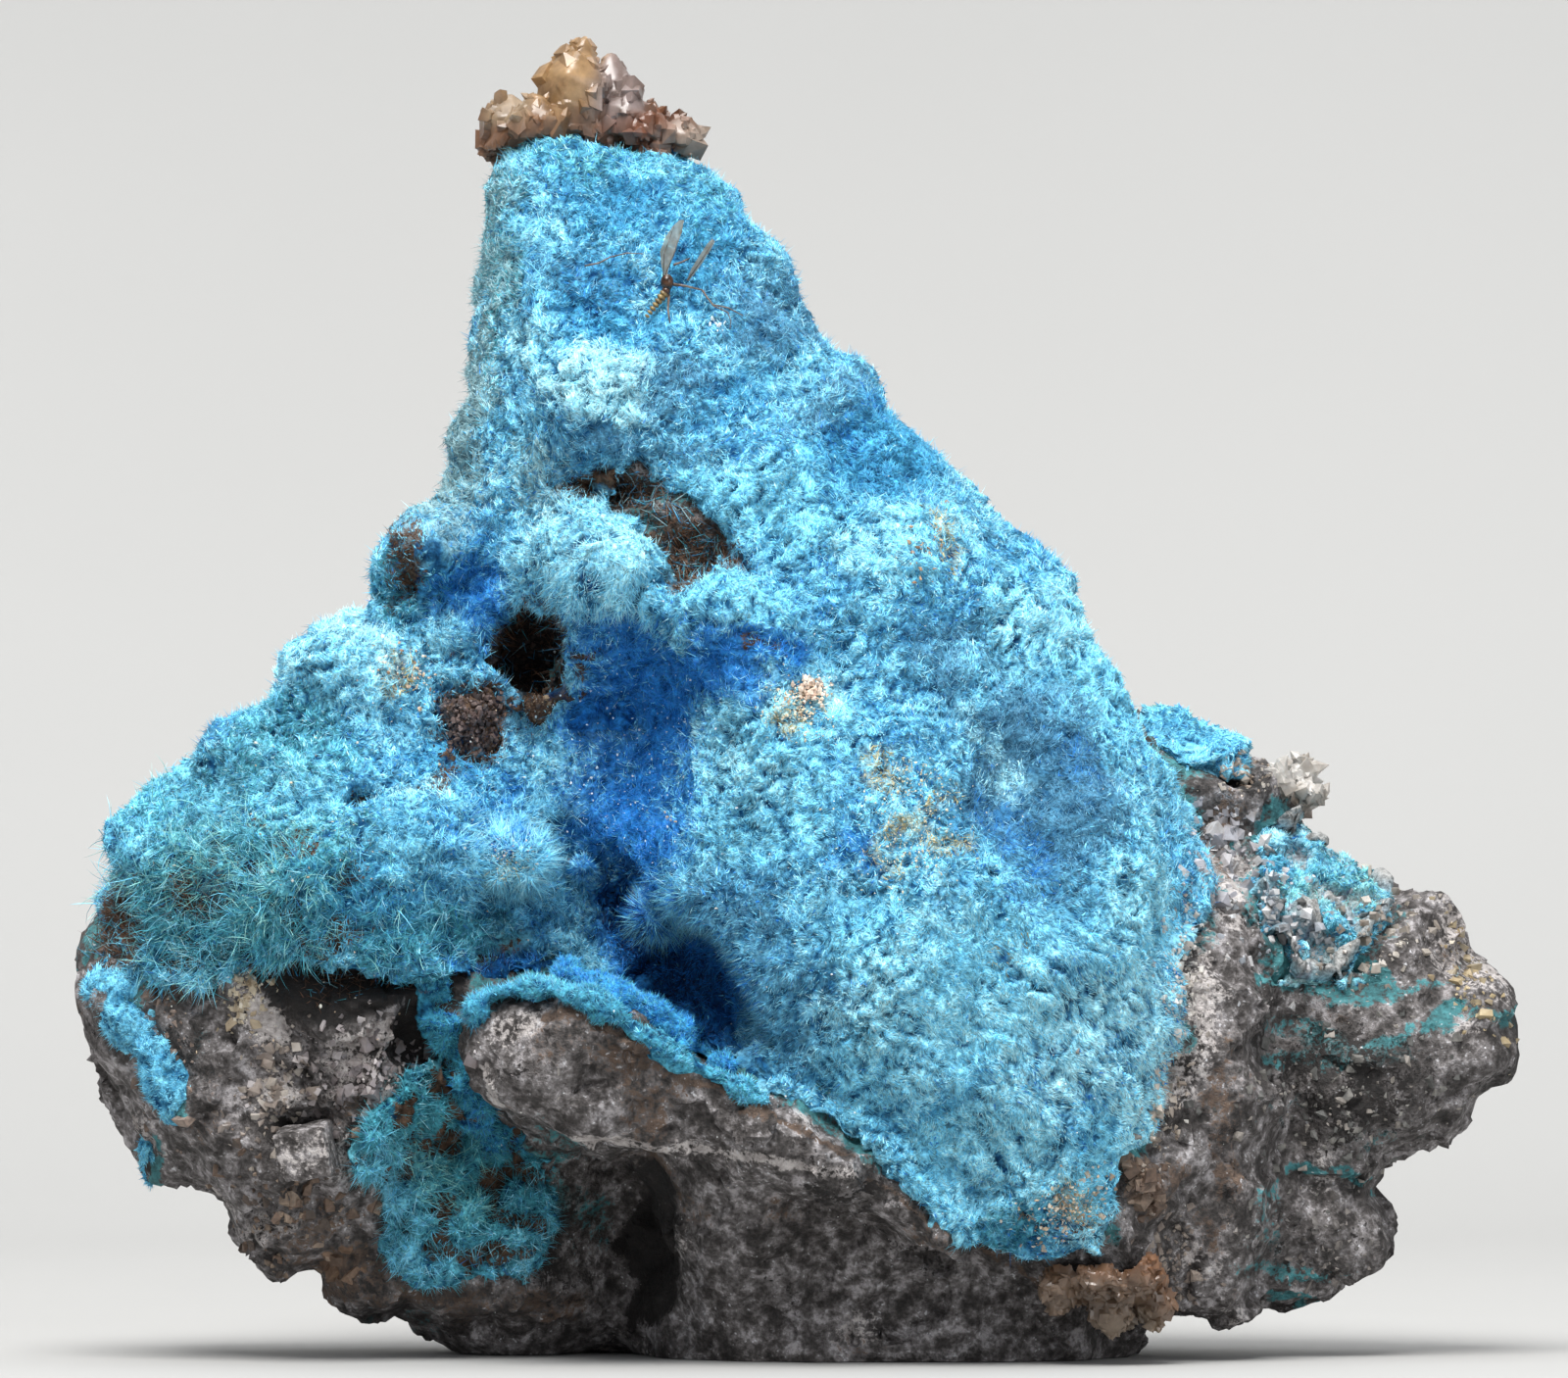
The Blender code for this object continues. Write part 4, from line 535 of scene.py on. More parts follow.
def path_distance(points, *paths):
    """How far each point is, in the view, from the nearest of some lines in pixels of the photo. The lines end at
    a depth, and behind it all is far from them."""
    nearest = np.full(len(points), 9.0)
    flat = points[:, [0, 2]]
    for path in paths:
        line = np.array([from_picture(*pixel) for pixel in path])
        for a, b in zip(line[:-1], line[1:]):
            along = clamp(((flat - a) @ (b - a)) / ((b - a) @ (b - a)))
            nearest = np.minimum(nearest, np.linalg.norm(flat - a - along[:, None] * (b - a), axis=1))
    return nearest + 3.0 * np.clip(points[:, 1] - LINES_END, 0.0, 3.0)


def noise_at(points, spacing, shift=0.0):
    """Smooth noise, about -1 to 1, with bumps about the spacing apart."""
    return np.array([noise.noise(Vector(place)) for place in points / spacing + shift])


def noise_vectors_at(points, spacing, shift=0.0):
    """Smooth noise in all three directions, to bend a pattern or turn a way."""
    return np.array([noise.noise_vector(Vector(place)) for place in points / spacing + shift])


def unit(vectors):
    return vectors / np.maximum(np.linalg.norm(vectors, axis=1), 1e-9)[:, None]


def points_of(mesh):
    points = np.empty(len(mesh.vertices) * 3, np.float32)
    mesh.vertices.foreach_get("co", points)
    return points.reshape(-1, 3).astype(float) / MM


def normals_of(mesh):
    normals = np.empty(len(mesh.vertices) * 3, np.float32)
    mesh.vertices.foreach_get("normal", normals)
    return normals.reshape(-1, 3).astype(float)


def triangles_of(mesh):
    mesh.calc_loop_triangles()
    corners = np.empty(len(mesh.loop_triangles) * 3, np.int32)
    mesh.loop_triangles.foreach_get("vertices", corners)
    return corners.reshape(-1, 3)


def set_points(mesh, points):
    mesh.vertices.foreach_set("co", (points * MM).astype(np.float32).ravel())
    mesh.update()


def set_value(mesh, name, values):
    attribute = mesh.attributes.new(name, "FLOAT", "POINT")
    attribute.data.foreach_set("value", values.astype(np.float32))


def set_colour(mesh, name, colours):
    attribute = mesh.attributes.new(name, "FLOAT_COLOR", "POINT")
    colours = np.column_stack([colours, np.ones(len(colours))])
    attribute.data.foreach_set("color", colours.astype(np.float32).ravel())


def select_only(obj):
    bpy.ops.object.select_all(action="DESELECT")
    obj.select_set(True)
    bpy.context.view_layer.objects.active = obj


def apply_modifiers(obj):
    select_only(obj)
    for modifier in list(obj.modifiers):
        bpy.ops.object.modifier_apply(modifier=modifier.name)


def new_piece(name, mesh):
    obj = bpy.data.objects.new(name, mesh)
    bpy.context.scene.collection.objects.link(obj)
    return obj


def surface(mesh):
    """A mesh's points, normals and triangles, as places are drawn on it."""
    return {"points": points_of(mesh), "normals": normals_of(mesh), "triangles": triangles_of(mesh)}


def copy_of_node(node, name):
    """A copy of a node's mesh with its loose triangles merged."""
    obj = new_piece(name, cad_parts[node].data.copy())
    obj.data.materials.clear()
    bm = bmesh.new()
    bm.from_mesh(obj.data)
    bmesh.ops.remove_doubles(bm, verts=bm.verts, dist=1e-7)
    bm.to_mesh(obj.data)
    bm.free()
    return obj


def remesh(obj, voxel):
    modifier = obj.modifiers.new("fine", "REMESH")
    modifier.mode = "VOXEL"
    modifier.voxel_size = voxel * MM
    modifier.use_smooth_shade = True
    apply_modifiers(obj)


def thin_hidden(obj, hidden):
    """Takes triangles out of the hidden side of a mesh until the piece is within its limit."""
    count = len(triangles_of(obj.data))
    if count <= MOST_TRIANGLES:
        return
    obj.vertex_groups.new(name="hidden").add(np.nonzero(hidden)[0].tolist(), 1.0, "REPLACE")
    modifier = obj.modifiers.new("thin", "DECIMATE")
    modifier.ratio = MOST_TRIANGLES / count
    modifier.vertex_group = "hidden"
    apply_modifiers(obj)
    obj.vertex_groups.clear()


def finish_piece(obj, slot, material, *nodes):
    """Gives a piece its material and its body, and hides the nodes that it stands for. The slot is not used."""
    obj.data.materials.clear()
    obj.data.materials.append(material)
    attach(obj, "root")
    if nodes:
        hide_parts(*nodes)


# Shader helpers

class Board:
    """The nodes of a material or a group, with short ways to add and join them."""

    def __init__(self, tree):
        self.nodes, self.links = tree.nodes, tree.links
        self.shader = tree.nodes.get("Principled BSDF")

    def feed(self, node, **values):
        """Joins a socket to an input, or sets the input to a number or a colour. A name has _ for a space."""
        for name, value in values.items():
            self.set(node.inputs[name.replace("_", " ")], value)
        return node

    def set(self, socket, value):
        if isinstance(value, bpy.types.NodeSocket):
            self.links.new(value, socket)
        else:
            socket.default_value = value

    def add(self, kind, **values):
        return self.feed(self.nodes.new("ShaderNode" + kind), **values)

    def place(self):
        return self.add("TexCoord").outputs["Object"]

    def noise(self, place, scale, detail=3.0, roughness=0.6):
        node = self.add("TexNoise", Vector=place, Scale=scale / MM, Detail=detail, Roughness=roughness)
        return node.outputs["Fac"]

    def attribute(self, name, output="Fac"):
        node = self.add("Attribute")
        node.attribute_name = name
        return node.outputs[output]

    def ramp(self, source, *stops, interpolation="LINEAR"):
        """Colours along a value. A stop is a position and a colour, or a number for a grey."""
        node = self.add("ValToRGB", Fac=source)
        node.color_ramp.interpolation = interpolation
        elements = node.color_ramp.elements
        while len(elements) > 1:
            elements.remove(elements[-1])
        for number, (position, colour) in enumerate(stops):
            element = elements.new(position) if number else elements[0]
            element.position = position
            element.color = colour if isinstance(colour, tuple) else (colour, colour, colour, 1)
        return node.outputs["Color"]

    def mix(self, kind, share, first, second):
        node = self.add("Mix")
        node.data_type = "RGBA"
        node.blend_type = kind
        return self.feed(node, Factor=share, A=first, B=second).outputs["Result"]

    def math(self, operation, *values):
        node = self.add("Math")
        node.operation = operation
        for socket, value in zip(node.inputs, values):
            self.set(socket, value)
        return node.outputs[0]

    def total(self, first, *others):
        """A value, or a value and its weight, with others added to it by their weights."""
        value = self.math("MULTIPLY", *first) if isinstance(first, tuple) else first
        for other in others:
            value = self.math("ADD", value, self.math("MULTIPLY", *other))
        return value

    def between(self, source, low, high):
        """A value's share of the way from low to high, kept from 0 to 1."""
        return self.add("MapRange", Value=source, From_Min=low, From_Max=high).outputs["Result"]

    def bump(self, height, strength, distance):
        bump = self.add("Bump", Height=height, Strength=strength, Distance=distance * MM)
        self.feed(self.shader, Normal=bump.outputs["Normal"])

    def stain(self, name, grain, colour, low, high):
        """Lays a patch of colour where the mesh's attribute is strong, its ragged edge along the grain: a stain, and
        with the rock's dark attribute also painted shade.
        """
        ragged = self.total(self.attribute(name), (grain["Grit"], 0.35), (grain["Cloud"], 0.25))
        grade = self.total((grain["Grit"], 0.5), (grain["Mottle"], 0.5))
        return self.mix("MIX", self.between(ragged, 0.66, 0.80), colour, self.mix("MIX", grade, low, high))

    def thin_line(self, name, grain, colour, width, line_colour):
        """Draws a line where the mesh's distance attribute is under a width."""
        away = self.total(self.attribute(name), (grain["Grit"], width))
        return self.mix("MIX", self.between(away, 1.9 * width, 1.1 * width), colour, line_colour)

    def tinted(self, clouds, low, high):
        """The tint that comes with the mesh, darker and lighter in clouds."""
        return self.mix("MULTIPLY", 1.0, self.attribute("tint", "Color"), self.ramp(clouds, low, high))


def new_material(name, group=None):
    """A material, its board and, where the mineral grain is given, the grain's outputs."""
    material = bpy.data.materials.new(name)
    material.use_nodes = True
    board = Board(material.node_tree)
    if group is None:
        return material, board
    node = board.add("Group")
    node.node_tree = group
    return material, board, board.feed(node, Vector=board.place()).outputs


def grain_group():
    """Mineral grain: clouds, fine grit, small glints and a height for bumps."""
    group = bpy.data.node_groups.new("mineral_grain", "ShaderNodeTree")
    group.interface.new_socket("Vector", in_out="INPUT", socket_type="NodeSocketVector")
    for name in ("Cloud", "Mottle", "Grit", "Glint", "Height"):
        group.interface.new_socket(name, in_out="OUTPUT", socket_type="NodeSocketFloat")
    board = Board(group)
    place, end = board.nodes.new("NodeGroupInput").outputs["Vector"], board.nodes.new("NodeGroupOutput")
    cloud, mottle = board.noise(place, 0.9), board.noise(place, 2.2)
    grit, spot = board.noise(place, 6.0, 3.0, 0.7), board.noise(place, 9.0, 1.0, 0.5)
    glint = board.math("MULTIPLY", board.between(spot, 0.66, 0.74), board.between(mottle, 0.46, 0.62))
    board.feed(end, Cloud=board.between(cloud, 0.36, 0.64), Mottle=board.between(mottle, 0.38, 0.62),
               Grit=board.between(grit, 0.34, 0.66), Glint=glint, Height=board.math("ADD", grit, mottle))
    return group


def rock_material(group):
    """Grey-brown vein rock with milky quartz, dark manganese, rust, green stain, a white vein and fine cracks. The
    dark also paints the shade in the hollows, the cleft and under the ledge.
    """
    material, board, grain = new_material("vein_rock", group)
    tone = board.total((grain["Grit"], 0.34), (grain["Mottle"], 0.40), (grain["Cloud"], 0.26))
    colour = board.ramp(tone, (0.12, rgb(30, 27, 26)), (0.36, rgb(62, 58, 57)), (0.60, rgb(104, 100, 100)),
                        (0.86, rgb(166, 162, 164)))
    colour = board.stain("pale", grain, colour, rgb(116, 110, 108), rgb(196, 190, 188))
    colour = board.stain("rust", grain, colour, rgb(42, 33, 28), rgb(106, 88, 76))
    colour = board.stain("green", grain, colour, rgb(24, 62, 66), rgb(72, 140, 146))
    # Painted highlight: pale glints mixed into the rock's colour, where its roughness is also lowered
    colour = board.mix("MIX", grain["Glint"], colour, rgb(190, 190, 194))
    # Dark rock, and painted shade in the hollows, the cleft and under the ledge
    colour = board.stain("dark", grain, colour, rgb(6, 5, 5), rgb(34, 29, 28))
    colour = board.thin_line("vein", grain, colour, 0.030, rgb(146, 141, 136))
    colour = board.thin_line("crack", grain, colour, 0.022, rgb(26, 22, 20))
    board.feed(board.shader, Base_Color=colour, Roughness=board.ramp(grain["Glint"], (0.0, 0.8), (1.0, 0.25)))
    board.bump(grain["Height"], 0.8, 0.12)
    return material


def felt_material(group):
    """The matted roots of the velvet: their colour comes with the mesh, with painted light and shade in it, and they
    are worn to brown by attribute.
    """
    material, board, grain = new_material("felt", group)
    shade = board.ramp(grain["Grit"], (0.0, 0.4), (0.5, 0.95), (1.0, 1.5))
    colour = board.mix("MULTIPLY", 1.0, board.attribute("felt", "Color"), shade)
    colour = board.stain("worn", grain, colour, rgb(20, 15, 13), rgb(104, 84, 70))
    board.feed(board.shader, Base_Color=colour, Roughness=0.9, Specular_IOR_Level=0.15)
    board.bump(grain["Height"], 0.9, 0.12)
    return material


def needle_material():
    """One colour for each kind of needle across the map, from root to tip up it."""
    material, board = new_material("needles")
    place = board.add("UVMap")
    place.uv_map = NEEDLE_MAP
    parts = board.add("SeparateXYZ", Vector=place.outputs["UV"]).outputs
    ends = []
    for end in (0, 1):
        stops = [(number / len(KINDS), rgb(*PALETTE[kind][end])) for number, kind in enumerate(KINDS)]
        ends.append(board.ramp(parts["X"], *stops, interpolation="CONSTANT"))
    colour = board.mix("MIX", board.math("POWER", parts["Y"], 0.7), *ends)
    # Painted light and shade: each needle is made lighter or darker by its chance, lighter on the crumbs' tops and
    # as glints, darker in the gaps
    chance = board.math("FRACT", board.math("MULTIPLY", parts["X"], len(KINDS)))
    light = board.ramp(chance, (0.0, 0.5), (0.6, 0.95), (1.0, 1.4))
    colour = board.mix("MULTIPLY", 1.0, colour, light)
    board.feed(board.shader, Base_Color=colour, Roughness=0.42, Specular_IOR_Level=0.4)
    return material


def quartz_material(name, transmission, roughness):
    """Quartz, see-through by plain transmission. Its tint comes with the mesh and is clouded by stain."""
    material, board = new_material(name)
    colour = board.tinted(board.noise(board.place(), 1.6, 4.0, 0.7), (0.34, (0.55, 0.5, 0.45, 1)), (0.66, 1.1))
    board.feed(board.shader, Base_Color=colour, Transmission_Weight=transmission, IOR=1.54, Roughness=roughness)
    return material


def tinted_material(name, roughness):
    """A solid finish whose tint comes with the mesh."""
    material, board = new_material(name)
    colour = board.tinted(board.noise(board.place(), 6.0, 2.0), (0.35, 0.6), (0.65, 1.15))
    board.feed(board.shader, Base_Color=colour, Roughness=roughness)
    return material


def plain_material(name, low, high, scale, roughness, **values):
    """A finish whose colour drifts between two."""
    material, board = new_material(name)
    colour = board.ramp(board.noise(board.place(), scale), (0.35, rgb(*low)), (0.65, rgb(*high)))
    board.feed(board.shader, Base_Color=colour, Roughness=roughness, **values)
    return material


# Surfaces

def stone_facets(points, spacing, height):
    """Broken stone: flat facets that tilt at random, each round its own seed."""
    rises = np.empty(len(points))
    for number, place in enumerate(points / spacing):
        seed = noise.voronoi(Vector(place))[1][0]
        tilt = noise.cell_vector(seed * 7.3) * 2.0 - Vector((1.0, 1.0, 1.0))
        rises[number] = (Vector(place) - seed).dot(tilt) + (noise.cell(seed * 3.1) - 0.5) * 0.5
    return np.clip(rises, -1.0, 1.0) * height


def under_crust(point, normal):
    """Whether a place on the rock lies well inside a crust."""
    start, way = Vector(point), Vector(normal)
    hit, out, _, distance = CRUST_TREE.ray_cast(start + way * 0.01, way, 2.0)
    return hit is not None and out.dot(way) > 0.0 and distance > 0.45


def zone_heights(points, zones):
    """The sum of some zones' heights at each point. The last number of a zone is its height."""
    return sum(in_zones(points, [zone[:5] + (1.0,)]) * zone[5] for zone in zones)


def crisp(obj, angle):
    """Smooth shading that breaks at edges sharper than an angle."""
    select_only(obj)
    bpy.ops.object.shade_smooth_by_angle(angle=math.radians(angle))


def make_rock(material):
    """The host rock, remade finer, with facets, broken blocks, swells and pits."""
    rock = copy_of_node("host_rock", "rock")
    remesh(rock, ROCK_VOXEL)
    thin_hidden(rock, np.array([under_crust(*pair) for pair in zip(points_of(rock.data), normals_of(rock.data))]))
    points, normals = points_of(rock.data), normals_of(rock.data)
    bent = points + 0.1 * noise_vectors_at(points, 0.3)
    rise = stone_facets(points + 0.3 * noise_vectors_at(points, 0.8), 1.7, 0.26) + stone_facets(bent, 0.6, 0.09)
    rise = rise + in_zones(points, BROKEN_ZONES) * stone_facets(bent, 0.9, 0.34) + 0.05 * noise_at(points, 0.28)
    facing = clamp(-normals[:, 1] * 2.0)
    rise = rise + (zone_heights(points, ROCK_BULGES) - facing * zone_heights(points, ROCK_PITS))
    seated = clamp(points[:, 2] / 0.6)
    set_points(rock.data, points + normals * (rise * seated)[:, None])
    stain_rock(rock.data, points)
    SURFACES.append((points_of(rock.data), triangles_of(rock.data)))
    crisp(rock, 38.0)
    finish_piece(rock, "vein_rock", material, "host_rock")


def stain_rock(mesh, points):
    """Gives the rock each stain's strength and each line's distance, by its points as they lay before the facets
    rose. The dark is partly dark rock and partly painted shade in the hollows, the cleft and under the ledge.
    The stains of the photo's side end at a depth, and a drift lays some rust and dark all over."""
    warped = points + 0.6 * noise_vectors_at(points, 1.6) + 0.25 * noise_vectors_at(points, 0.5)
    front = in_front(points, 6.0, 2.0)
    drift = noise_at(points, 2.4, 9.0) * 2.2

    crust_away = np.array([CRUST_TREE.find_nearest(Vector(point))[3] for point in points])
    by_crust = np.clip(0.8 - crust_away / 0.8, 0.0, 0.55)
    by_line = front * np.clip(0.9 - path_distance(warped, *GREEN_LINES) / 0.3, 0.0, 0.75)
    green = np.maximum(in_zones(warped, GREEN_ROCK_ZONES) * 0.62 * front, by_crust)
    green = np.maximum(green, by_line) * (1.0 - in_zones(points, WORN_ZONES))

    away = path_distance(points + 0.2 * noise_vectors_at(points, 0.6), *RUST_LINES)
    rust = np.maximum(in_zones(warped, RUST_ZONES) * 0.65 * front, np.clip(0.9 - away / 0.24, 0.0, 0.72))
    # Dark rock, and painted shade in the hollows, the cleft, under the shoulder's crust and under the ledge
    dark = in_zones(warped, DARK_STAIN_AND_SHADE_ZONES) * 0.8 * front

    edge = path_distance(points + 0.12 * noise_vectors_at(points, 0.5), *PALE_EDGES)
    edge = edge + 2.0 * clamp(points[:, 1] + 4.6)
    pale = np.maximum(in_zones(warped, PALE_ROCK_ZONES) * 0.75 * front,
                      0.4 * clamp(noise_at(points, 1.7, 5.0) * 2 - 0.2))
    for name, values in (
        ("green", green),
        ("rust", np.maximum(rust, 0.42 * clamp(drift - 0.2))),
        ("dark", np.maximum(dark, 0.45 * clamp(-drift - 0.3))),
        ("pale", np.maximum(pale, np.clip(0.75 - edge / 0.4, 0.0, 0.6))),
        ("vein", path_distance(points + 0.1 * noise_vectors_at(points, 0.4), *VEINS)),
        ("crack", path_distance(points, *CRACKS)),
    ):
        set_value(mesh, name, values)


# The felt of the velvet

def nearest_rock(points):
    """Each point's height over the rock, and the rock's nearest point and normal."""
    heights, nearest, normals = np.empty(len(points)), np.empty((len(points), 3)), np.empty((len(points), 3))
    for number, point in enumerate(points):
        at, normal, _, _ = ROCK_TREE.find_nearest(Vector(point))
        nearest[number], normals[number] = at, normal
        heights[number] = (Vector(point) - at).dot(normal)
    return heights, nearest, normals


def lumps(points, spacing, shift):
    """Cauliflower lumps, 0 in the creases between them and about 1 on top."""
    return np.clip(np.abs(noise_at(points, spacing, shift)) * 2.6, 0.0, 1.1)


def streaky_lumps(points, streaked, spacing, shift):
    """Lumps that are drawn out along the streaks' way where the felt is streaked."""
    rises, some = lumps(points, spacing, shift), streaked > 0.05
    share, along = clamp(streaked[some]), points[some]
    along = along - 0.76 * (along @ STREAK)[:, None] * STREAK
    rises[some] = (1.0 - share) * rises[some] + share * lumps(along, spacing, shift)
    return rises


def make_felt(felt, slot, material, *nodes, kinds=None, sink=FELT_SINK, calm=0.0):
    """Dresses a felt mesh with lumps, pits and colour, and returns it with what its needles need to know. The colour
    has
    painted light and shade: paler on the lumps' tops, darker between them and darkest in the pits. Worn places sink
    by a depth, and a calm felt has lower lumps."""
    remesh(felt, FELT_VOXEL)
    thin_hidden(felt, nearest_rock(points_of(felt.data))[0] < 0.0)
    points, normals = points_of(felt.data), normals_of(felt.data)
    heights = nearest_rock(points)[0]
    warped = points + 0.7 * noise_vectors_at(points, 1.7) + 0.28 * noise_vectors_at(points, 0.5)
    shares = kind_shares(warped, 1.4 * noise_at(points, 2.0, 11.0) + 1.0 * noise_at(points, 0.6, 13.0), kinds)
    smooth = clamp(shares @ np.array([SMOOTHNESS.get(kind, 0.0) for kind in KINDS]))
    patchy = in_zones(warped, PATCHY_ZONES) * clamp((noise_at(points, 0.75, 7.0) + 0.06) * 4)
    worn = np.maximum(in_zones(warped, WORN_ZONES) * in_front(points, 3.0, 1.5), patchy)

    streaked = in_zones(warped, STREAKED_ZONES)
    bent = points + 0.14 * noise_vectors_at(points, 0.4, 2.0) + 0.5 * noise_vectors_at(points, 1.3, 8.0)
    coarse, fine = streaky_lumps(bent, streaked, 0.52, 0.0), streaky_lumps(bent, streaked, 0.23, 17.0)
    uneven = np.clip(0.75 + 1.3 * noise_at(points, 1.5, 27.0), 0.15, 1.5)
    rise = (0.16 * (coarse - 0.55) + 0.11 * (fine - 0.5)) * uneven * (1.0 - 0.6 * smooth)
    rise = (rise + 0.26 * noise_at(points, 1.9, 4.0)) * (1.0 - calm) * (1.0 + 0.4 * streaked)
    swell = zone_heights(warped, SWELLS) - zone_heights(warped, HOLLOWS)
    edge = clamp(1.0 - heights / 0.8) * clamp(noise_at(points, 0.8, 21.0) * 2.5 + 0.1)
    if sink > WORN_EDGE_SINK:
        worn = np.maximum(worn, edge)
    set_points(felt.data, points + normals * (rise + swell - sink * worn - 0.4 * edge * (1.0 - calm))[:, None])

    # Painted light and shade: the felt is paler on the lumps' tops, darker between them and blended to a dark blue
    # in its pits
    root, tip = (np.array([linear(PALETTE[kind][end]) for kind in KINDS]) for end in (0, 1))
    top = clamp(0.7 * coarse + 0.5 * fine - 0.15) * (1.0 - 0.35 * smooth)
    colours = (shares @ root) * (1.0 - top)[:, None] * 0.6 + (shares @ tip) * 0.9 * top[:, None]
    pit_shade = np.clip(0.62 - coarse - 0.5 * fine, 0.0, 0.5) * 2.0 * (1.0 - 0.7 * smooth)
    colours = blend(colours, PIT_SHADE_COLOUR, pit_shade)
    set_colour(felt.data, "felt", blend(colours, WORN_GREY, clamp(points[:, 0] - 9.0) * worn))
    set_value(felt.data, "worn", worn * np.clip((9.8 - points[:, 0]) / 1.5, 0.15, 0.75))
    ground = {
        **surface(felt.data), "shares": shares, "worn": worn, "bare": 0.1 if sink < 0.3 else 0.9, "top": top,
        "deep": in_zones(warped, KIND_ZONES["deep"]), "smooth": smooth, "streaked": streaked, "warped": warped,
        "height": heights, "stand": in_zones(warped, STANDING_ZONES), "long": in_zones(warped, LONG_ZONES),
        "comb": sum(in_zones(warped, [zone])[:, None] * np.array(way) for zone, way in COMBED_ZONES),
    }
    SURFACES.append((ground["points"], ground["triangles"]))
    finish_piece(felt, slot, material, *nodes)
    return ground


def keep_between(obj, low, high):
    """Cuts a closed mesh off below and above two places, axis by axis, and caps the cuts."""
    select_only(obj)
    for side, corner in ((-1.0, low), (1.0, high)):
        for axis in range(3):
            if abs(corner[axis]) >= FAR:
                continue
            way, place = [0.0, 0.0, 0.0], [0.0, 0.0, 0.0]
            way[axis], place[axis] = side, corner[axis] * MM
            bpy.ops.object.mode_set(mode="EDIT")
            bpy.ops.mesh.select_all(action="SELECT")
            bpy.ops.mesh.bisect(plane_co=place, plane_no=way, use_fill=True, clear_outer=True)
            bpy.ops.object.mode_set(mode="OBJECT")


def crust_felt(node, name, low, high):
    """The ground of one crust or of a stretch of it, let down under the tips of its needles and sunk in the rock."""
    felt = copy_of_node(node, name)
    points, normals = points_of(felt.data), normals_of(felt.data)
    heights, nearest, rock_normals = nearest_rock(points)
    under = (normals * rock_normals).sum(axis=1) < 0.0
    sunk = nearest - rock_normals * FELT_SUNK
    down = np.clip(heights - 0.1, 0.0, FELT_DEPTH)
    set_points(felt.data, np.where(under[:, None], sunk, points - normals * down[:, None]))
    keep_between(felt, low, high)
    return felt


def look(tree, across, up):
    """The first place of a surface behind a place in the view, with its normal, or nothing where none is met."""
    return tree.ray_cast(Vector((across, -FAR, up)), Vector((0.0, 1.0, 0.0)))[:2]


def front_at(tree, across, up):
    """How far back the first surface lies behind a place in the view, or none where nothing is met."""
    hit = look(tree, across, up)[0]
    return hit.y if hit else None


def balls(name, middles, radii):
    """Overlapping balls as one piece."""
    bm = bmesh.new()
    for middle, radius in zip(middles, radii):
        place = Matrix.Translation(Vector(middle) * MM)
        bmesh.ops.create_icosphere(bm, subdivisions=2, radius=radius * MM, matrix=place)
    mesh = bpy.data.meshes.new(name)
    bm.to_mesh(mesh)
    bm.free()
    return new_piece(name, mesh)


def tuft_felt(number):
    """The core of a fluffy tuft, half sunk in the velvet, and its needles' length."""
    pixel, radius, length = TUFTS[number]
    across, up = from_picture(*pixel)
    back = front_at(CRUST_TREE, across, up) + 0.15 * radius
    return balls(f"tuft_{number + 1}", [(across, back, up)], [radius]), length


def strip_felt(name, path, radius, sink, depth):
    """A strip of velvet along a line in pixels of the photo: overlapping balls sunk in the rock, in one row or
    more behind each other. More rows make the ledge's rim, which is met lower down and thins at its low end."""
    middles, radii, rim = [], [], depth > 1
    line = [from_picture(*pixel) for pixel in path]
    for (x0, z0), (x1, z1) in zip(line[:-1], line[1:]):
        for share in np.arange(0.0, 1.0, 0.12):
            across, up = x0 + share * (x1 - x0), z0 + share * (z1 - z0)
            size = radius * (1.0 + 0.9 * noise.noise(Vector((across, 3.0, up)) / 0.6))
            size *= 0.6 if rim and up < 6.9 else 1.0
            up += 0.16 * noise.noise(Vector((across, 9.0, up)) / 0.4)
            front = front_at(ROCK_TREE, across, up - (0.55 if rim else 0.0))
            if front is None:
                continue
            for step in range(depth):
                middles.append((across, front + sink * size + 0.35 * step, up + 0.02 * step))
                radii.append(size)
    return balls(name, middles, radii)


# Needles

def kind_shares(points, tone, kinds=None):
    """How likely each kind of needle is at each point, one column a kind. A high tone favours the pale kinds."""
    if kinds:
        shares = np.tile([kinds.get(kind, 0.0) for kind in KINDS], (len(points), 1))
    else:
        zoned = np.column_stack([in_zones(points, KIND_ZONES.get(kind, [])) for kind in KINDS])
        rest = np.array([EVERYWHERE.get(kind, 0.0) for kind in KINDS])
        shares = 2.6 * zoned ** 1.5 + rest * clamp(1.0 - 0.75 * zoned.max(axis=1))[:, None]
        deep, bark = zoned[:, KINDS.index("deep")], zoned[:, KINDS.index("bark")]
        for pale in ("sky", "ice", "mint"):
            shares[:, KINDS.index(pale)] *= 1.0 - 0.65 * deep
        shares[:, KINDS.index("bark")] += 6.0 * clamp(bark - 0.45)
    return toned(shares, tone)


def toned(shares, tone):
    """Shares of each kind, made to add up to 1 after a high tone has raised the pale kinds."""
    shares = shares * np.exp(tone[:, None] * np.array([LIGHTNESS[kind] for kind in KINDS]))
    return shares / shares.sum(axis=1)[:, None]


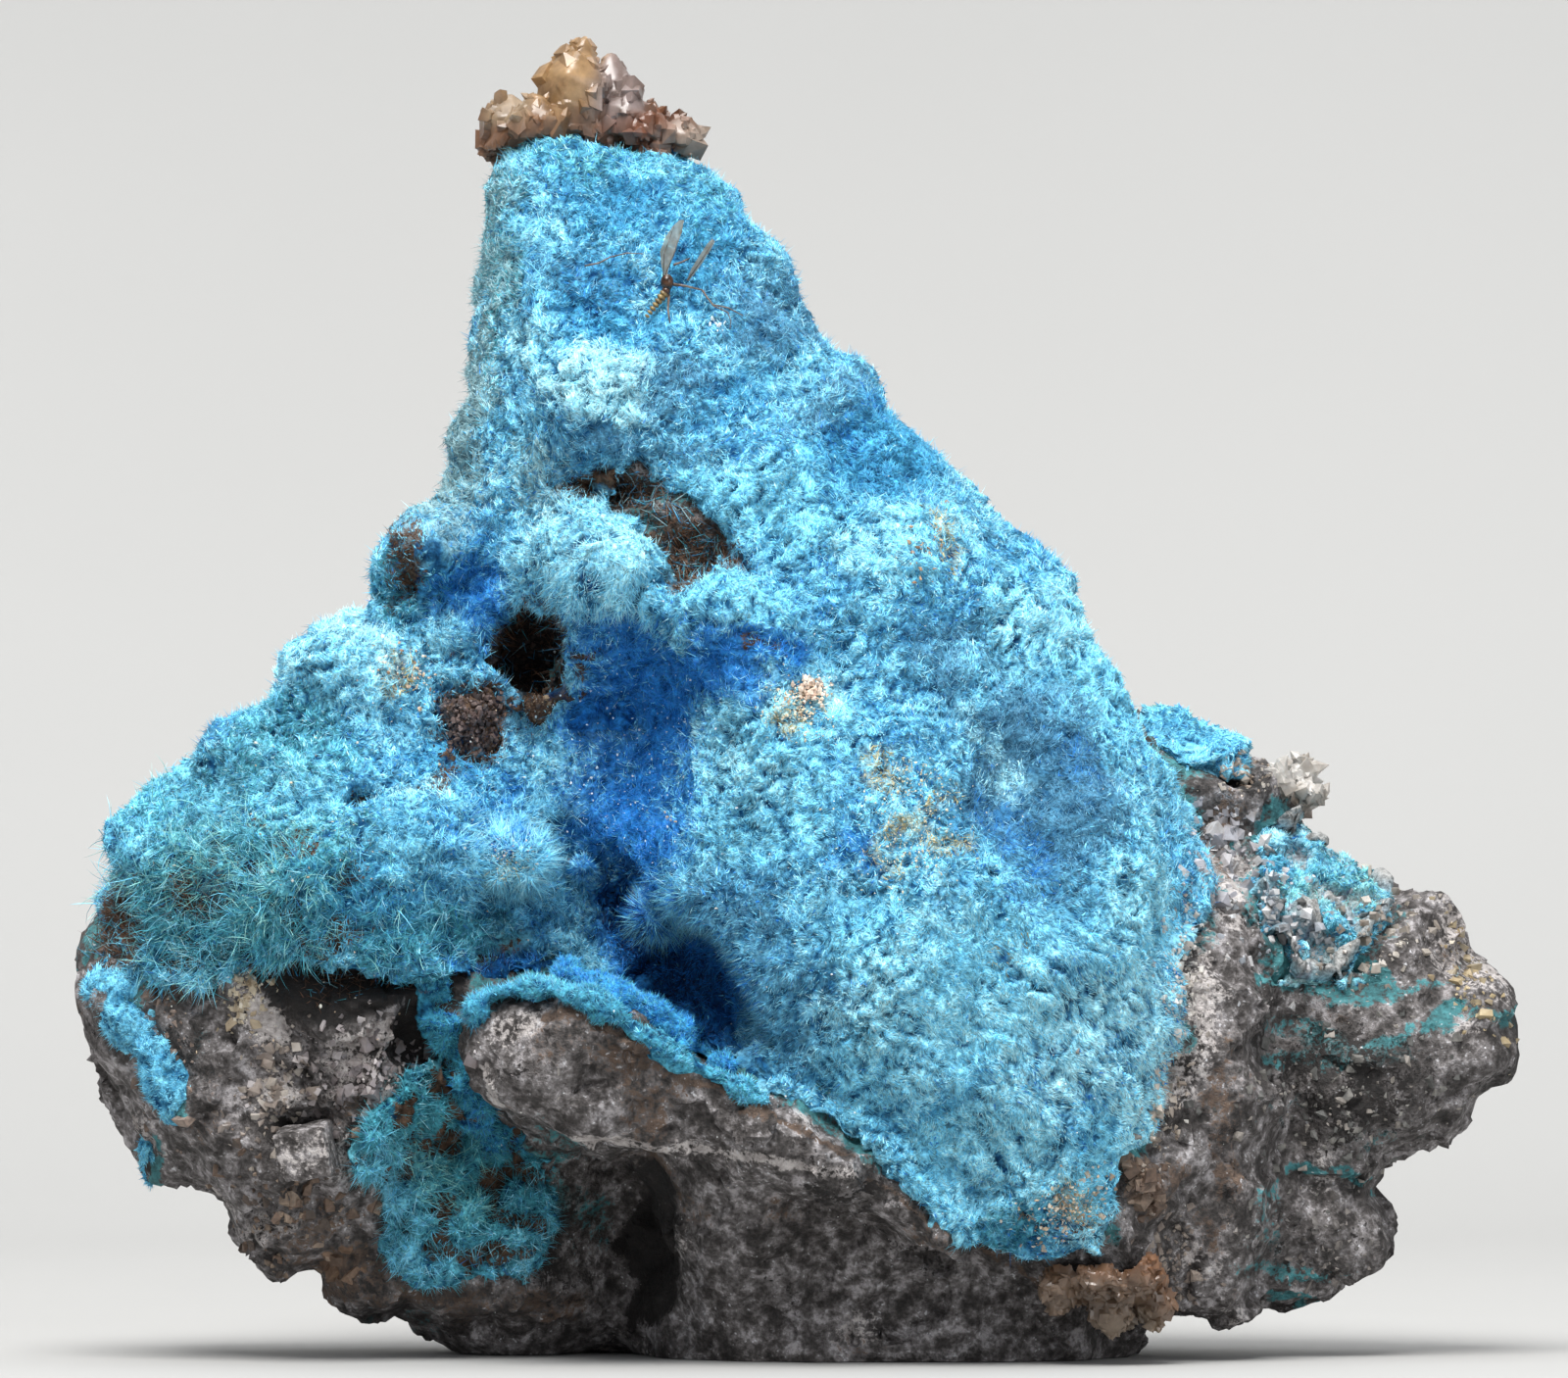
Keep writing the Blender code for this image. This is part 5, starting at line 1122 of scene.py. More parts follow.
def sample(ground, count, density):
    """Random places on a ground: for each, three corners and their weights, most where density is greatest."""
    corners = ground["triangles"]
    a, b, c = (ground["points"][corners[:, k]] for k in range(3))
    area = np.linalg.norm(np.cross(b - a, c - a), axis=1) / 2 * density[corners].mean(axis=1)
    total = np.cumsum(area)
    pick = np.searchsorted(total, DRAW.random(count) * total[-1])
    u, v = DRAW.random(count), DRAW.random(count)
    flip = u + v > 1
    u[flip], v[flip] = 1 - u[flip], 1 - v[flip]
    return corners[pick], np.column_stack([1 - u - v, u, v])


def spread(values, corners, weights):
    """A ground's values at sampled places."""
    return np.einsum("nk,nk...->n...", weights, values[corners])


def cross_ways(directions):
    """Two ways square to each direction."""
    helper = np.where(np.abs(directions[:, 2:]) < 0.9, [[0.0, 0.0, 1.0]], [[1.0, 0.0, 0.0]])
    side = unit(np.cross(helper, directions))
    return side, np.cross(directions, side)


def mesh_from_arrays(name, points, faces):
    """A mesh from points in millimetres and faces that all have the same number of corners."""
    mesh = bpy.data.meshes.new(name)
    mesh.vertices.add(len(points))
    mesh.vertices.foreach_set("co", (points * MM).astype(np.float32).ravel())
    mesh.loops.add(faces.size)
    mesh.loops.foreach_set("vertex_index", faces.astype(np.int32).ravel())
    mesh.polygons.add(len(faces))
    mesh.polygons.foreach_set("loop_start", np.arange(0, faces.size, faces.shape[1], dtype=np.int32))
    mesh.update(calc_edges=True)
    return mesh


def repeated(faces, count, corners):
    """The faces of many shapes that are alike, each with its own run of corners."""
    return (np.arange(count)[:, None, None] * corners + faces).reshape(-1, 3)


def spikes(name, lines, widths, kinds, chances):
    """Three-sided tapering spikes joined in one mesh. Each follows a line of points, and the mesh has a map of the
    needles' kind across and of how far up each point is."""
    count, rings = lines.shape[0], lines.shape[1] - 1
    side, other = cross_ways(unit(lines[:, 1] - lines[:, 0]))
    turn = DRAW.random(count) * 2 * math.pi
    points = np.empty((count, rings * 3 + 1, 3))
    for ring in range(rings):
        radius = (widths / 2 * (1.0 - ring / (rings + 1)))[:, None]
        for corner in range(3):
            angle = (turn + corner * 2 * math.pi / 3)[:, None]
            points[:, ring * 3 + corner] = lines[:, ring] + radius * (np.cos(angle) * side + np.sin(angle) * other)
    points[:, -1] = lines[:, -1]
    faces = []
    for ring in range(rings):
        for corner in range(3):
            a, b = ring * 3 + corner, ring * 3 + (corner + 1) % 3
            faces += [(a, b, rings * 3)] if ring == rings - 1 else [(a, b, b + 3), (a, b + 3, a + 3)]
    faces = np.array(faces)
    mesh = mesh_from_arrays(name, points.reshape(-1, 3), repeated(faces, count, points.shape[1]))
    column = (kinds + 0.08 + 0.84 * chances) / len(KINDS)
    shift = np.array([0.0, 1.0, 0.5]) * 0.02 / len(KINDS)
    up = np.where(faces == rings * 3, rings, faces // 3) / rings
    across = column[:, None, None] + np.broadcast_to(shift, faces.shape)
    places = np.stack([across, np.broadcast_to(0.04 + 0.92 * up, across.shape)], axis=-1).reshape(-1, 2)
    for layer, size in ((NEEDLE_MAP, [1.0, 1.0]), ("OFBake", [1.0, BAKE_HEIGHT])):
        mesh.uv_layers.new(name=layer).data.foreach_set("uv", (places * size).astype(np.float32).ravel())
    return mesh


def draw_kinds(shares):
    """A kind of needle drawn for each row of shares."""
    drawn = np.cumsum(shares, axis=1) < DRAW.random(len(shares))[:, None]
    return drawn.sum(axis=1).clip(0, len(KINDS) - 1)


def draw_named(kinds, count):
    """Kinds drawn from some that are named with their shares."""
    return DRAW.choice([KINDS.index(kind) for kind in kinds], count, p=list(kinds.values()))


def lay_needles(ground):
    """One ground's needles: their lines, widths, kinds and chances of a light colour. Where the velvet is crumbly
    most are flakes, short and broad, that lie flat in crumbs with dark gaps between them. The paler kinds and
    lighter colours on the crumbs' tops, and the darker ones in the gaps, paint light and shade."""
    drawn = int(ground["count"] * DRAWN_PER_KEPT)
    facing = 0.7 + 0.5 * np.clip(-ground["normals"][:, 1], -1.0, 1.0)
    bare = ground["bare"] * ground["worn"]
    density = 0.7 + 0.5 * ground["top"] - 0.1 * ground["deep"] - bare - 0.35 * ground["long"]
    density = facing * np.clip(density, 0.06, 2.0)
    corners, weights = sample(ground, drawn, density * (ground["height"] > 0.03))
    roots = spread(ground["points"], corners, weights)
    stand, long, smooth, streaked, top = (
        spread(ground[key], corners, weights) for key in ("stand", "long", "smooth", "streaked", "top"))
    crumbly = 0.85 + 1.1 * noise_at(roots, 1.6, 51.0) - 0.8 * smooth - 0.9 * stand - 1.1 * long
    crumbly = np.clip(crumbly, 0.12, 0.95)
    bent = roots + 0.08 * noise_vectors_at(roots, 0.2, 2.0)
    crumb = np.where(long > 0.4, lumps(bent, 0.6, 31.0), streaky_lumps(bent, streaked, 0.26, 31.0))
    crumb = 0.55 * crumb + 0.45 * top
    in_gap = 2.4 * clamp(0.5 - crumb) * (0.35 + crumbly + 0.5 * long)
    keep = np.sort(np.argsort(DRAW.random(drawn) + in_gap)[:ground["count"]])
    corners, weights, roots, stand, long, crumb, top, crumbly = (
        values[keep] for values in (corners, weights, roots, stand, long, crumb, top, crumbly))
    count, flake = len(keep), DRAW.random(len(keep)) < crumbly
    normals = unit(spread(ground["normals"], corners, weights))
    worn = spread(ground["worn"], corners, weights)

    flow = unit(noise_vectors_at(roots, 0.45, 6.0))
    lean = (0.75 + 0.5 * flake)[:, None] * flow * (1.0 - 0.7 * stand)[:, None]
    lean += spread(ground["comb"], corners, weights)
    lean += 0.7 * DRAW.normal(size=(count, 3)) * (1.0 - 0.5 * stand - 0.3 * flake)[:, None]
    directions = unit(normals * (0.5 + 0.9 * stand - 0.25 * flake)[:, None] + lean)
    up = (directions * normals).sum(axis=1)
    directions = unit(directions + normals * np.clip(LEAST_RISE - up, 0.0, None)[:, None])

    lengths = ground.get("length", NEEDLE_LENGTH) * (0.5 + 1.0 * DRAW.random(count) ** 2)
    lengths = lengths * (1 + 1.5 * long + 0.6 * worn)
    widths = NEEDLE_WIDTH * (0.65 + 0.7 * DRAW.random(count)) * (1 + 0.2 * long)
    lengths = np.where(flake, FLAKE_LENGTH * (0.6 + 0.8 * DRAW.random(count)), lengths)
    widths = np.where(flake, FLAKE_WIDTH * (0.6 + 0.8 * DRAW.random(count)), widths)
    # Painted light and shade: paler kinds and lighter needles on the crumbs' tops, darker ones in the gaps, and a
    # few lit at random as glints
    tone = 1.0 * noise_at(roots, 0.3, 41.0) + 2.2 * (crumb - 0.5)
    kinds = draw_kinds(toned(spread(ground["shares"], corners, weights), tone))
    chances = clamp(DRAW.random(count) * 0.55 + 0.25 * top + 0.35 * crumb - 0.03 - 0.2 * worn)
    lines = np.stack([roots - directions * ROOT_DEPTH, roots + directions * lengths[:, None]], axis=1)
    return lines, widths, kinds, chances


def make_needles(grounds, material):
    """All the needles of the velvet, in pieces by place."""
    made = [lay_needles(ground) for ground in grounds]
    crust = np.concatenate([np.full(len(kinds), number) for number, (_, _, kinds, _) in enumerate(made)])
    everything = [np.concatenate(parts) for parts in zip(*made)]
    roots = everything[0][:, 0]
    left = np.ones(len(roots), bool)
    for name, slot, first, last, low, high in NEEDLE_PIECES:
        chosen = left & (crust >= first) & (crust <= last) & (roots >= low).all(axis=1) & (roots <= high).all(axis=1)
        left &= ~chosen
        finish_piece(new_piece(name, spikes(name, *(values[chosen] for values in everything))), slot, material)


def make_threads(ground, material):
    """Long curved needles that cross over the shoulder and hang from its edge."""
    density = in_zones(ground["warped"], THREAD_ZONES) * (ground["height"] > 0.1)
    density = density * np.clip(0.35 + 3.0 * noise_at(ground["points"], 0.9, 61.0), 0.04, 1.0)
    corners, weights = sample(ground, THREADS, density)
    normals = unit(spread(ground["normals"], corners, weights))
    way = unit(normals * 0.5 + 0.8 * DRAW.normal(size=(THREADS, 3)) + np.array([-0.1, -0.3, -0.15]))
    bend = 0.5 * DRAW.normal(size=(THREADS, 3)) + [0.0, 0.0, -0.25]
    step = (0.35 + 0.8 * DRAW.random(THREADS) ** 2)[:, None] / 4
    lines = [spread(ground["points"], corners, weights) - normals * 0.05]
    for _ in range(4):
        lines.append(lines[-1] + way * step)
        way = unit(way + bend * 0.45)
    kinds = draw_named(THREAD_KINDS, THREADS)
    widths = NEEDLE_WIDTH * (0.9 + 0.6 * DRAW.random(THREADS))
    mesh = spikes("shoulder_threads", np.stack(lines, axis=1), widths, kinds, DRAW.random(THREADS))
    finish_piece(new_piece("shoulder_threads", mesh), "blue_velvet", material)


def make_fibres(material):
    """Brown and blue fibres that lie across the rock in the bare windows."""
    points, triangles = SURFACES[0]
    density = in_zones(points, WINDOW_ZONES) * in_front(points, 2.0, 1.0)
    corners, weights = sample({"points": points, "triangles": triangles}, FIBRES, density)
    roots = spread(points, corners, weights)
    ways = unit(DRAW.normal(size=(FIBRES, 3)) * [1.0, 0.35, 1.0] + [0.0, -0.3, 0.0])
    lengths = 0.2 + 0.5 * DRAW.random(FIBRES) ** 2
    kinds = draw_named(FIBRE_KINDS, FIBRES)
    lines = np.stack([roots + [0.0, 0.02, 0.0], roots + ways * lengths[:, None]], axis=1)
    widths = 0.022 + 0.03 * DRAW.random(FIBRES)
    mesh = spikes("window_fibres", lines, widths, kinds, DRAW.random(FIBRES) ** 1.5)
    finish_piece(new_piece("window_fibres", mesh), "blue_velvet", material)


# Grains and dust

def make_grains(tree):
    """Grains and dust that lie on the velvet, each a small angular lump."""
    ball = bmesh.new()
    bmesh.ops.create_icosphere(ball, subdivisions=1, radius=1.0)
    shape = np.array([vert.co[:] for vert in ball.verts])
    faces = np.array([[vert.index for vert in face.verts] for face in ball.faces])
    ball.free()
    corners, points, tints = len(shape), [], []
    for zone, count, (least, most), colours in GRAINS:
        for _ in range(count):
            hit = look(tree, *turned(zone, *(DRAW.normal(size=2) * 0.6 * zone[2:4])))[0]
            if hit is None:
                continue
            size = least + (most - least) * DRAW.random() ** 2
            lump = shape * (0.5 + 0.8 * DRAW.random((corners, 1))) * (0.4 + 0.9 * DRAW.random(3)) * size
            points.append(lump + [hit.x, hit.y - 0.10, hit.z])
            tints.append(np.tile(linear(colours[DRAW.integers(len(colours))]), (corners, 1)))
    mesh = flat(mesh_from_arrays("grains", np.concatenate(points), repeated(faces, len(points), corners)))
    set_colour(mesh, "tint", np.concatenate(tints))
    finish_piece(new_piece("grains", mesh), "vein_rock", tinted_material("grains", 0.6))


# Quartz

def tint_quartz(mesh, node):
    """Lays the tints of a cluster's zones over a little brown."""
    points = points_of(mesh)
    warped = points + 0.25 * noise_vectors_at(points, 0.6)
    colours, total = np.tile(linear(BROWN) * 0.3, (len(points), 1)), np.full(len(points), 0.3)
    for zone, tint in QUARTZ_TINTS[node]:
        share = 3.0 * in_zones(warped, [zone])
        colours, total = colours + share[:, None] * linear(tint), total + share
    set_colour(mesh, "tint", colours / total[:, None])


def crystal_points(name, bases, ways, lengths, widths):
    """Six-sided quartz points joined in one mesh."""
    count = len(bases)
    side, other = cross_ways(ways)
    turn = DRAW.random(count) * math.pi
    points = np.empty((count, 14, 3))
    for corner in range(6):
        angle = (turn + corner * math.pi / 3)[:, None]
        out = (widths / 2)[:, None] * (np.cos(angle) * side + np.sin(angle) * other)
        points[:, corner] = bases + out
        points[:, corner + 6] = bases + out + ways * (lengths * (0.55 + 0.15 * DRAW.random(count)))[:, None]
    points[:, 12] = bases + ways * lengths[:, None]
    points[:, 13] = bases
    faces = []
    for corner in range(6):
        a, b = corner, (corner + 1) % 6
        faces += [(a, b, b + 6), (a, b + 6, a + 6), (a + 6, b + 6, 12), (b, a, 13)]
    return flat(mesh_from_arrays(name, points.reshape(-1, 3), repeated(np.array(faces), count, 14)))


def block_shapes(count):
    """Broken blocks: hulls of a jittered cube's corners and a few more, each a pair of corners and triangles."""
    shapes = []
    for _ in range(count):
        bm = bmesh.new()
        cube = np.array([(x, y, z) for x in (-1, 1) for y in (-1, 1) for z in (-1, 1)]) * 0.72
        for place in np.concatenate([cube + DRAW.normal(size=(8, 3)) * 0.2, unit(DRAW.normal(size=(4, 3)))]):
            bm.verts.new(place)
        inside = bmesh.ops.convex_hull(bm, input=bm.verts)["geom_interior"]
        inside = [item for item in inside if isinstance(item, bmesh.types.BMVert)]
        bmesh.ops.delete(bm, geom=inside, context="VERTS")
        bmesh.ops.recalc_face_normals(bm, faces=bm.faces)
        bm.verts.index_update()
        triangles = np.array([[vert.index for vert in face.verts] for face in bm.faces])
        shapes.append((np.array([vert.co[:] for vert in bm.verts]), triangles))
        bm.free()
    return shapes


def flat(mesh):
    mesh.shade_flat()
    return mesh


def block_mesh(name, places, sizes, upright=0.0):
    """Broken blocks joined in one mesh, each turned at random. Upright ones stand and are taller."""
    shapes, points, faces, start = block_shapes(24), [], [], 0
    tilt = (1.0 - 0.75 * upright) * math.pi
    for place, size in zip(places, sizes):
        corners, triangles = shapes[DRAW.integers(len(shapes))]
        turn = Matrix.Rotation(DRAW.random() * 2 * math.pi, 3, "Z")
        turn = turn @ Matrix.Rotation(tilt * (DRAW.random() - 0.5), 3, "X")
        shape = corners * (0.7 + 0.6 * DRAW.random(3)) * [1.0, 1.0, 1.0 + 0.9 * upright]
        points.append(shape @ np.array(turn).T * size / 2 + place)
        faces.append(triangles + start)
        start += len(corners)
    return flat(mesh_from_arrays(name, np.concatenate(points), np.concatenate(faces)))


def make_blocks(name, tree, groups, material):
    """Blocks grown into the front of the rock, half sunk."""
    places, sizes, tints, rock = [], [], [], tree_of(SURFACES[0])
    for zone, count, (least, most), colours in groups:
        only_bare = zone[0] < 0.0 and zone[5] < ALSO_ON_FELT
        for _ in range(int(count * TRIES)):
            hit, normal = look(tree, *turned(zone, *(DRAW.normal(size=2) * 0.55 * zone[2:4])))
            if hit is None or (only_bare and rock.find_nearest(hit)[3] > 0.02):
                continue
            size = 0.8 * (least + (most - least) * DRAW.random() ** 2.8)
            places.append(np.array(hit - normal * size * 0.32))
            sizes.append(size)
            tints.append(linear(colours[DRAW.integers(len(colours))]))
    mesh = block_mesh(name, places, sizes)
    set_colour(mesh, "tint", np.array(tints)[owners(mesh)])
    finish_piece(new_piece(name, mesh), "vein_rock", material)


def owners(mesh):
    """The number of the joined part that each corner belongs to, in the order in which the parts were joined."""
    triangles = triangles_of(mesh)
    owner = np.arange(len(mesh.vertices))
    while True:
        lowest = owner[triangles].min(axis=1)
        before = owner.copy()
        for k in range(3):
            np.minimum.at(owner, triangles[:, k], lowest)
        if (owner == before).all():
            return np.unique(owner, return_inverse=True)[1]


def make_quartz(node, slot, material, count, size, upright=0.0):
    """One cluster: its uneven body, with broken blocks and a few points that grow all over it."""
    def finish(name, mesh):
        tint_quartz(mesh, node)
        finish_piece(new_piece(name, mesh), slot, material)

    quartz = copy_of_node(node, node.replace("quartz", "crystals"))
    remesh(quartz, QUARTZ_VOXEL)
    points, normals = points_of(quartz.data), normals_of(quartz.data)
    facets = stone_facets(points + 0.06 * noise_vectors_at(points, 0.3), 0.8, 0.10)
    rise = facets + 0.02 * noise_at(points, 0.3) + (0.12 if upright else 0.0)
    set_points(quartz.data, points + normals * rise[:, None])
    tint_quartz(quartz.data, node)
    crisp(quartz, 30.0)
    body = surface(quartz.data)
    finish_piece(quartz, slot, material, node)
    corners, weights = sample(body, count, np.ones(len(points)))
    normals = unit(spread(body["normals"], corners, weights))
    places = spread(body["points"], corners, weights)
    sizes = size * (0.45 + 0.75 * DRAW.random(count) ** 1.5)
    name = node.replace("quartz", "blocks")
    finish(name, block_mesh(name, places - normals * sizes[:, None] * 0.25, sizes, upright))
    few = count // 7
    places, normals, sizes = places[:few], normals[:few], sizes[:few]
    ways = unit(normals + 0.45 * DRAW.normal(size=(few, 3)) + [0.0, 0.0, 0.6 * upright])
    name = node.replace("quartz", "points")
    finish(name, crystal_points(name, places - ways * sizes[:, None] * 0.6, ways, sizes * 1.5, sizes * 0.7))


def make_square_crystal(material):
    """The square grey crystal grown into the rock on the left."""
    across, up = from_picture(*CRYSTAL_PIXEL)
    middle = Vector((across, front_at(ROCK_TREE, across, up) - 0.25, up)) * MM
    bpy.ops.object.select_all(action="DESELECT")
    bpy.ops.mesh.primitive_cube_add(size=1.0)
    crystal = bpy.context.object
    crystal.name = "square_crystal"
    turn = Matrix.Identity(4)
    for angle, axis in ((-9, "Y"), (-12, "Z"), (10, "X")):
        turn = turn @ Matrix.Rotation(math.radians(angle), 4, axis)
    size = Matrix.Diagonal((*(length * MM for length in CRYSTAL_SIZE), 1.0))
    crystal.data.transform(Matrix.Translation(middle) @ turn @ size)
    bevel = crystal.modifiers.new("worn_edges", "BEVEL")
    bevel.width = 0.05 * MM
    bevel.segments = 2
    apply_modifiers(crystal)
    remesh(crystal, 0.06)
    points, normals = points_of(crystal.data), normals_of(crystal.data)
    rise = 0.03 * noise_at(points, 0.35) + stone_facets(points, 0.5, 0.02)
    set_points(crystal.data, points + normals * rise[:, None])
    crisp(crystal, 35.0)
    for name, value in CRYSTAL_STAINS.items():
        set_value(crystal.data, name, np.full(len(points), value))
    finish_piece(crystal, "vein_rock", material)


# The gnat

def tube(bm, path, radius):
    """A thin five-sided tube along a line of places, half as thick at its end."""
    rings, sides = [], 5
    for number, place in enumerate(path):
        before, after = path[max(number - 1, 0)], path[min(number + 1, len(path) - 1)]
        turn = (after - before).to_track_quat("Z", "X").to_matrix()
        size = radius * (1.0 - 0.5 * number / (len(path) - 1))
        outs = [Vector((math.cos(a), math.sin(a), 0.0)) for a in np.radians([0, 72, 144, 216, 288])]
        rings.append([bm.verts.new((place + turn @ out * size) * MM) for out in outs])
    for low, high in zip(rings[:-1], rings[1:]):
        for k in range(sides):
            bm.faces.new((low[k], low[(k + 1) % sides], high[(k + 1) % sides], high[k]))
    bm.faces.new(rings[0][::-1])
    bm.faces.new(rings[-1])


def make_gnat(tree):
    """A small gnat: dark thorax and head, ringed abdomen, two clear wings and thin legs."""
    def place(px, py, lift):
        across, up = from_picture(px, py)
        return Vector((across, front_at(tree, across, up) - lift, up))

    def on_wing(pixel, root, lift, lean, back=0.0):
        across, up = from_picture(*pixel)
        return Vector((across, root.y - lift - (up - root.z) * lean + back, up))

    def bead(bm, middle, radius, rings, tilt, shape):
        turn = Matrix.Rotation(math.radians(tilt), 4, "Y") @ Matrix.Diagonal((*shape, 1.0))
        bmesh.ops.create_uvsphere(bm, u_segments=16, v_segments=rings, radius=radius * MM,
                                  matrix=Matrix.Translation(middle * MM) @ turn)

    body, abdomen, legs, wings, veins = (bmesh.new() for _ in range(5))
    bead(body, place(681, 290, 0.42), 0.17, 10, 0, (1.0, 1.0, 1.25))
    bead(body, place(680, 299, 0.42), 0.11, 10, 0, (1.0, 1.0, 1.0))
    for number in range(7):
        share = number / 6
        middle = place(678 - 17 * share, 302 + 23 * share, 0.34)
        bead(abdomen, middle, 0.125 - 0.055 * share, 8, 36, (1.0, 0.9, 0.62))
    for path, radius in GNAT_LEGS:
        tube(legs, [place(*pixel, 0.30) for pixel in path], radius)
    for outline, lines, lean in GNAT_WINGS:
        root = place(*outline[0], 0.40)
        for back in (0.0, 0.012):
            ring = [wings.verts.new(on_wing(pixel, root, 0.12, lean, back) * MM) for pixel in outline]
            wings.faces.new(ring if back else ring[::-1])
        for path in lines:
            root = place(*path[0], 0.40)
            tube(veins, [on_wing(pixel, root, 0.13, lean) for pixel in path], 0.016)
    brown = plain_material("gnat_legs", (64, 52, 46), (120, 104, 92), 6.0, 0.45)
    for name, bm, material in (
        ("gnat_body", body, plain_material("gnat_dark", (22, 14, 10), (72, 44, 26), 8.0, 0.22)),
        ("gnat_abdomen", abdomen, plain_material("gnat_gold", (62, 50, 30), (140, 120, 76), 9.0, 0.35)),
        ("gnat_leg_set", legs, brown),
        ("gnat_wings", wings, plain_material("gnat_wing", (176, 160, 140), (226, 218, 204), 5.0, 0.3,
                                             Transmission_Weight=0.8, IOR=1.2)),
        ("gnat_wing_veins", veins, brown),
    ):
        mesh = bpy.data.meshes.new(name)
        bmesh.ops.recalc_face_normals(bm, faces=bm.faces)
        bm.to_mesh(mesh)
        bm.free()
        finish_piece(new_piece(name, mesh), "gnat_brown", material, *(["gnat"] if name == "gnat_body" else []))
        for face in mesh.polygons:
            face.use_smooth = name != "gnat_wings"


# The stage, the light and the camera

def clear_from_behind(material):
    """Lets a sheet be seen through from its back, so that the specimen can be viewed from all sides."""
    board = Board(material.node_tree)
    share = board.add("MixShader")
    board.set(share.inputs[0], board.add("NewGeometry").outputs["Backfacing"])
    board.set(share.inputs[1], board.shader.outputs["BSDF"])
    board.set(share.inputs[2], board.add("BsdfTransparent").outputs["BSDF"])
    board.feed(board.nodes["Material Output"], Surface=share.outputs["Shader"])
    return material


def make_stage():
    """A pale floor that curves up into a backdrop."""
    bpy.ops.mesh.primitive_plane_add(size=1.0)
    floor = bpy.context.object
    floor.name = "floor"
    front, bend, radius, top, drop, half_width = -500.0, 90.0, 60.0, 600.0, 0.02, 600.0
    profile = [(front, 0.0), (bend, 0.0)]
    for angle in np.radians(np.arange(10, 91, 10)):
        profile.append((bend + radius * math.sin(angle), radius - radius * math.cos(angle)))
    profile.append((bend + radius, top))
    bm = bmesh.new()
    left, right = ([bm.verts.new((x * MM, y * MM, (z - drop) * MM)) for y, z in profile]
                   for x in (-half_width, half_width))
    for k in range(len(profile) - 1):
        bm.faces.new((left[k], right[k], right[k + 1], left[k + 1]))
    bm.to_mesh(floor.data)
    bm.free()
    for face in floor.data.polygons:
        face.use_smooth = True
    card = plain_material("pale_card", (163, 163, 162), (165, 165, 164), 0.02, 0.9)
    floor.data.materials.append(clear_from_behind(card))


def add_area(name, place, target, size, power, colour):
    light = bpy.data.lights.new(name, "AREA")
    light.shape = "DISK"
    light.size = size * MM
    light.energy = power
    light.color = colour
    obj = bpy.data.objects.new(name, light)
    bpy.context.scene.collection.objects.link(obj)
    obj.location = Vector(place) * MM
    obj.rotation_euler = (Vector(target) - Vector(place)).to_track_quat("-Z", "Y").to_euler()


def light_scene():
    middle = (0, 0, 14)
    add_area("key", (-40, -190, 330), middle, 230, 2.2, (1.0, 0.985, 0.96))
    add_area("fill", (240, -260, 90), middle, 260, 0.35, (0.95, 0.98, 1.0))
    add_area("back_wash", (0, 60, 420), (0, 130, 0), 400, 1.2, (1.0, 1.0, 1.0))
    world = bpy.data.worlds.new("soft_room")
    world.use_nodes = True
    background = world.node_tree.nodes["Background"].inputs
    background["Color"].default_value = (0.92, 0.95, 1.0, 1.0)
    background["Strength"].default_value = 0.46
    bpy.context.scene.world = world
    bpy.context.scene.view_settings.view_transform = "Standard"


def add_camera():
    """Level, with a long lens, so that the frame is 40 mm wide at the origin's depth."""
    distance, frame_width, centre_height, sensor = 420.0, 40.0, 17.1, 36.0
    camera = bpy.data.objects.new("camera", bpy.data.cameras.new("camera"))
    bpy.context.scene.collection.objects.link(camera)
    camera.location = (0.0, -distance * MM, centre_height * MM)
    camera.rotation_euler = (math.radians(90), 0.0, 0.0)
    camera.data.sensor_width = sensor
    camera.data.lens = sensor * distance / frame_width
    camera.data.clip_start = 0.01
    camera.data.clip_end = 5.0
    bpy.context.scene.camera = camera


def tree_of(*surfaces):
    """One tree of several surfaces, each a pair of points and triangles."""
    points, triangles, start = [], [], 0
    for some, corners in surfaces:
        points.append(some)
        triangles.append(corners + start)
        start += len(some)
    return BVHTree.FromPolygons(np.concatenate(points).tolist(), np.concatenate(triangles).tolist())


def node_tree(*names):
    meshes = [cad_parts[name].data for name in names]
    return tree_of(*((points_of(mesh), triangles_of(mesh)) for mesh in meshes))


# Trees of the CAD rock and crusts, and the surfaces made so far, each a pair of points and triangles
ROCK_TREE = node_tree("host_rock")
CRUST_TREE = node_tree("blue_crust", "foot_crust", "peak_crust", "flank_crust")
SURFACES = []


def area_of(ground):
    """The area of a ground where it stands clear of the rock."""
    a, b, c = (ground["points"][ground["triangles"][:, k]] for k in range(3))
    area = np.linalg.norm(np.cross(b - a, c - a), axis=1) / 2
    return area[(ground["height"] > 0.12)[ground["triangles"]].all(axis=1)].sum()


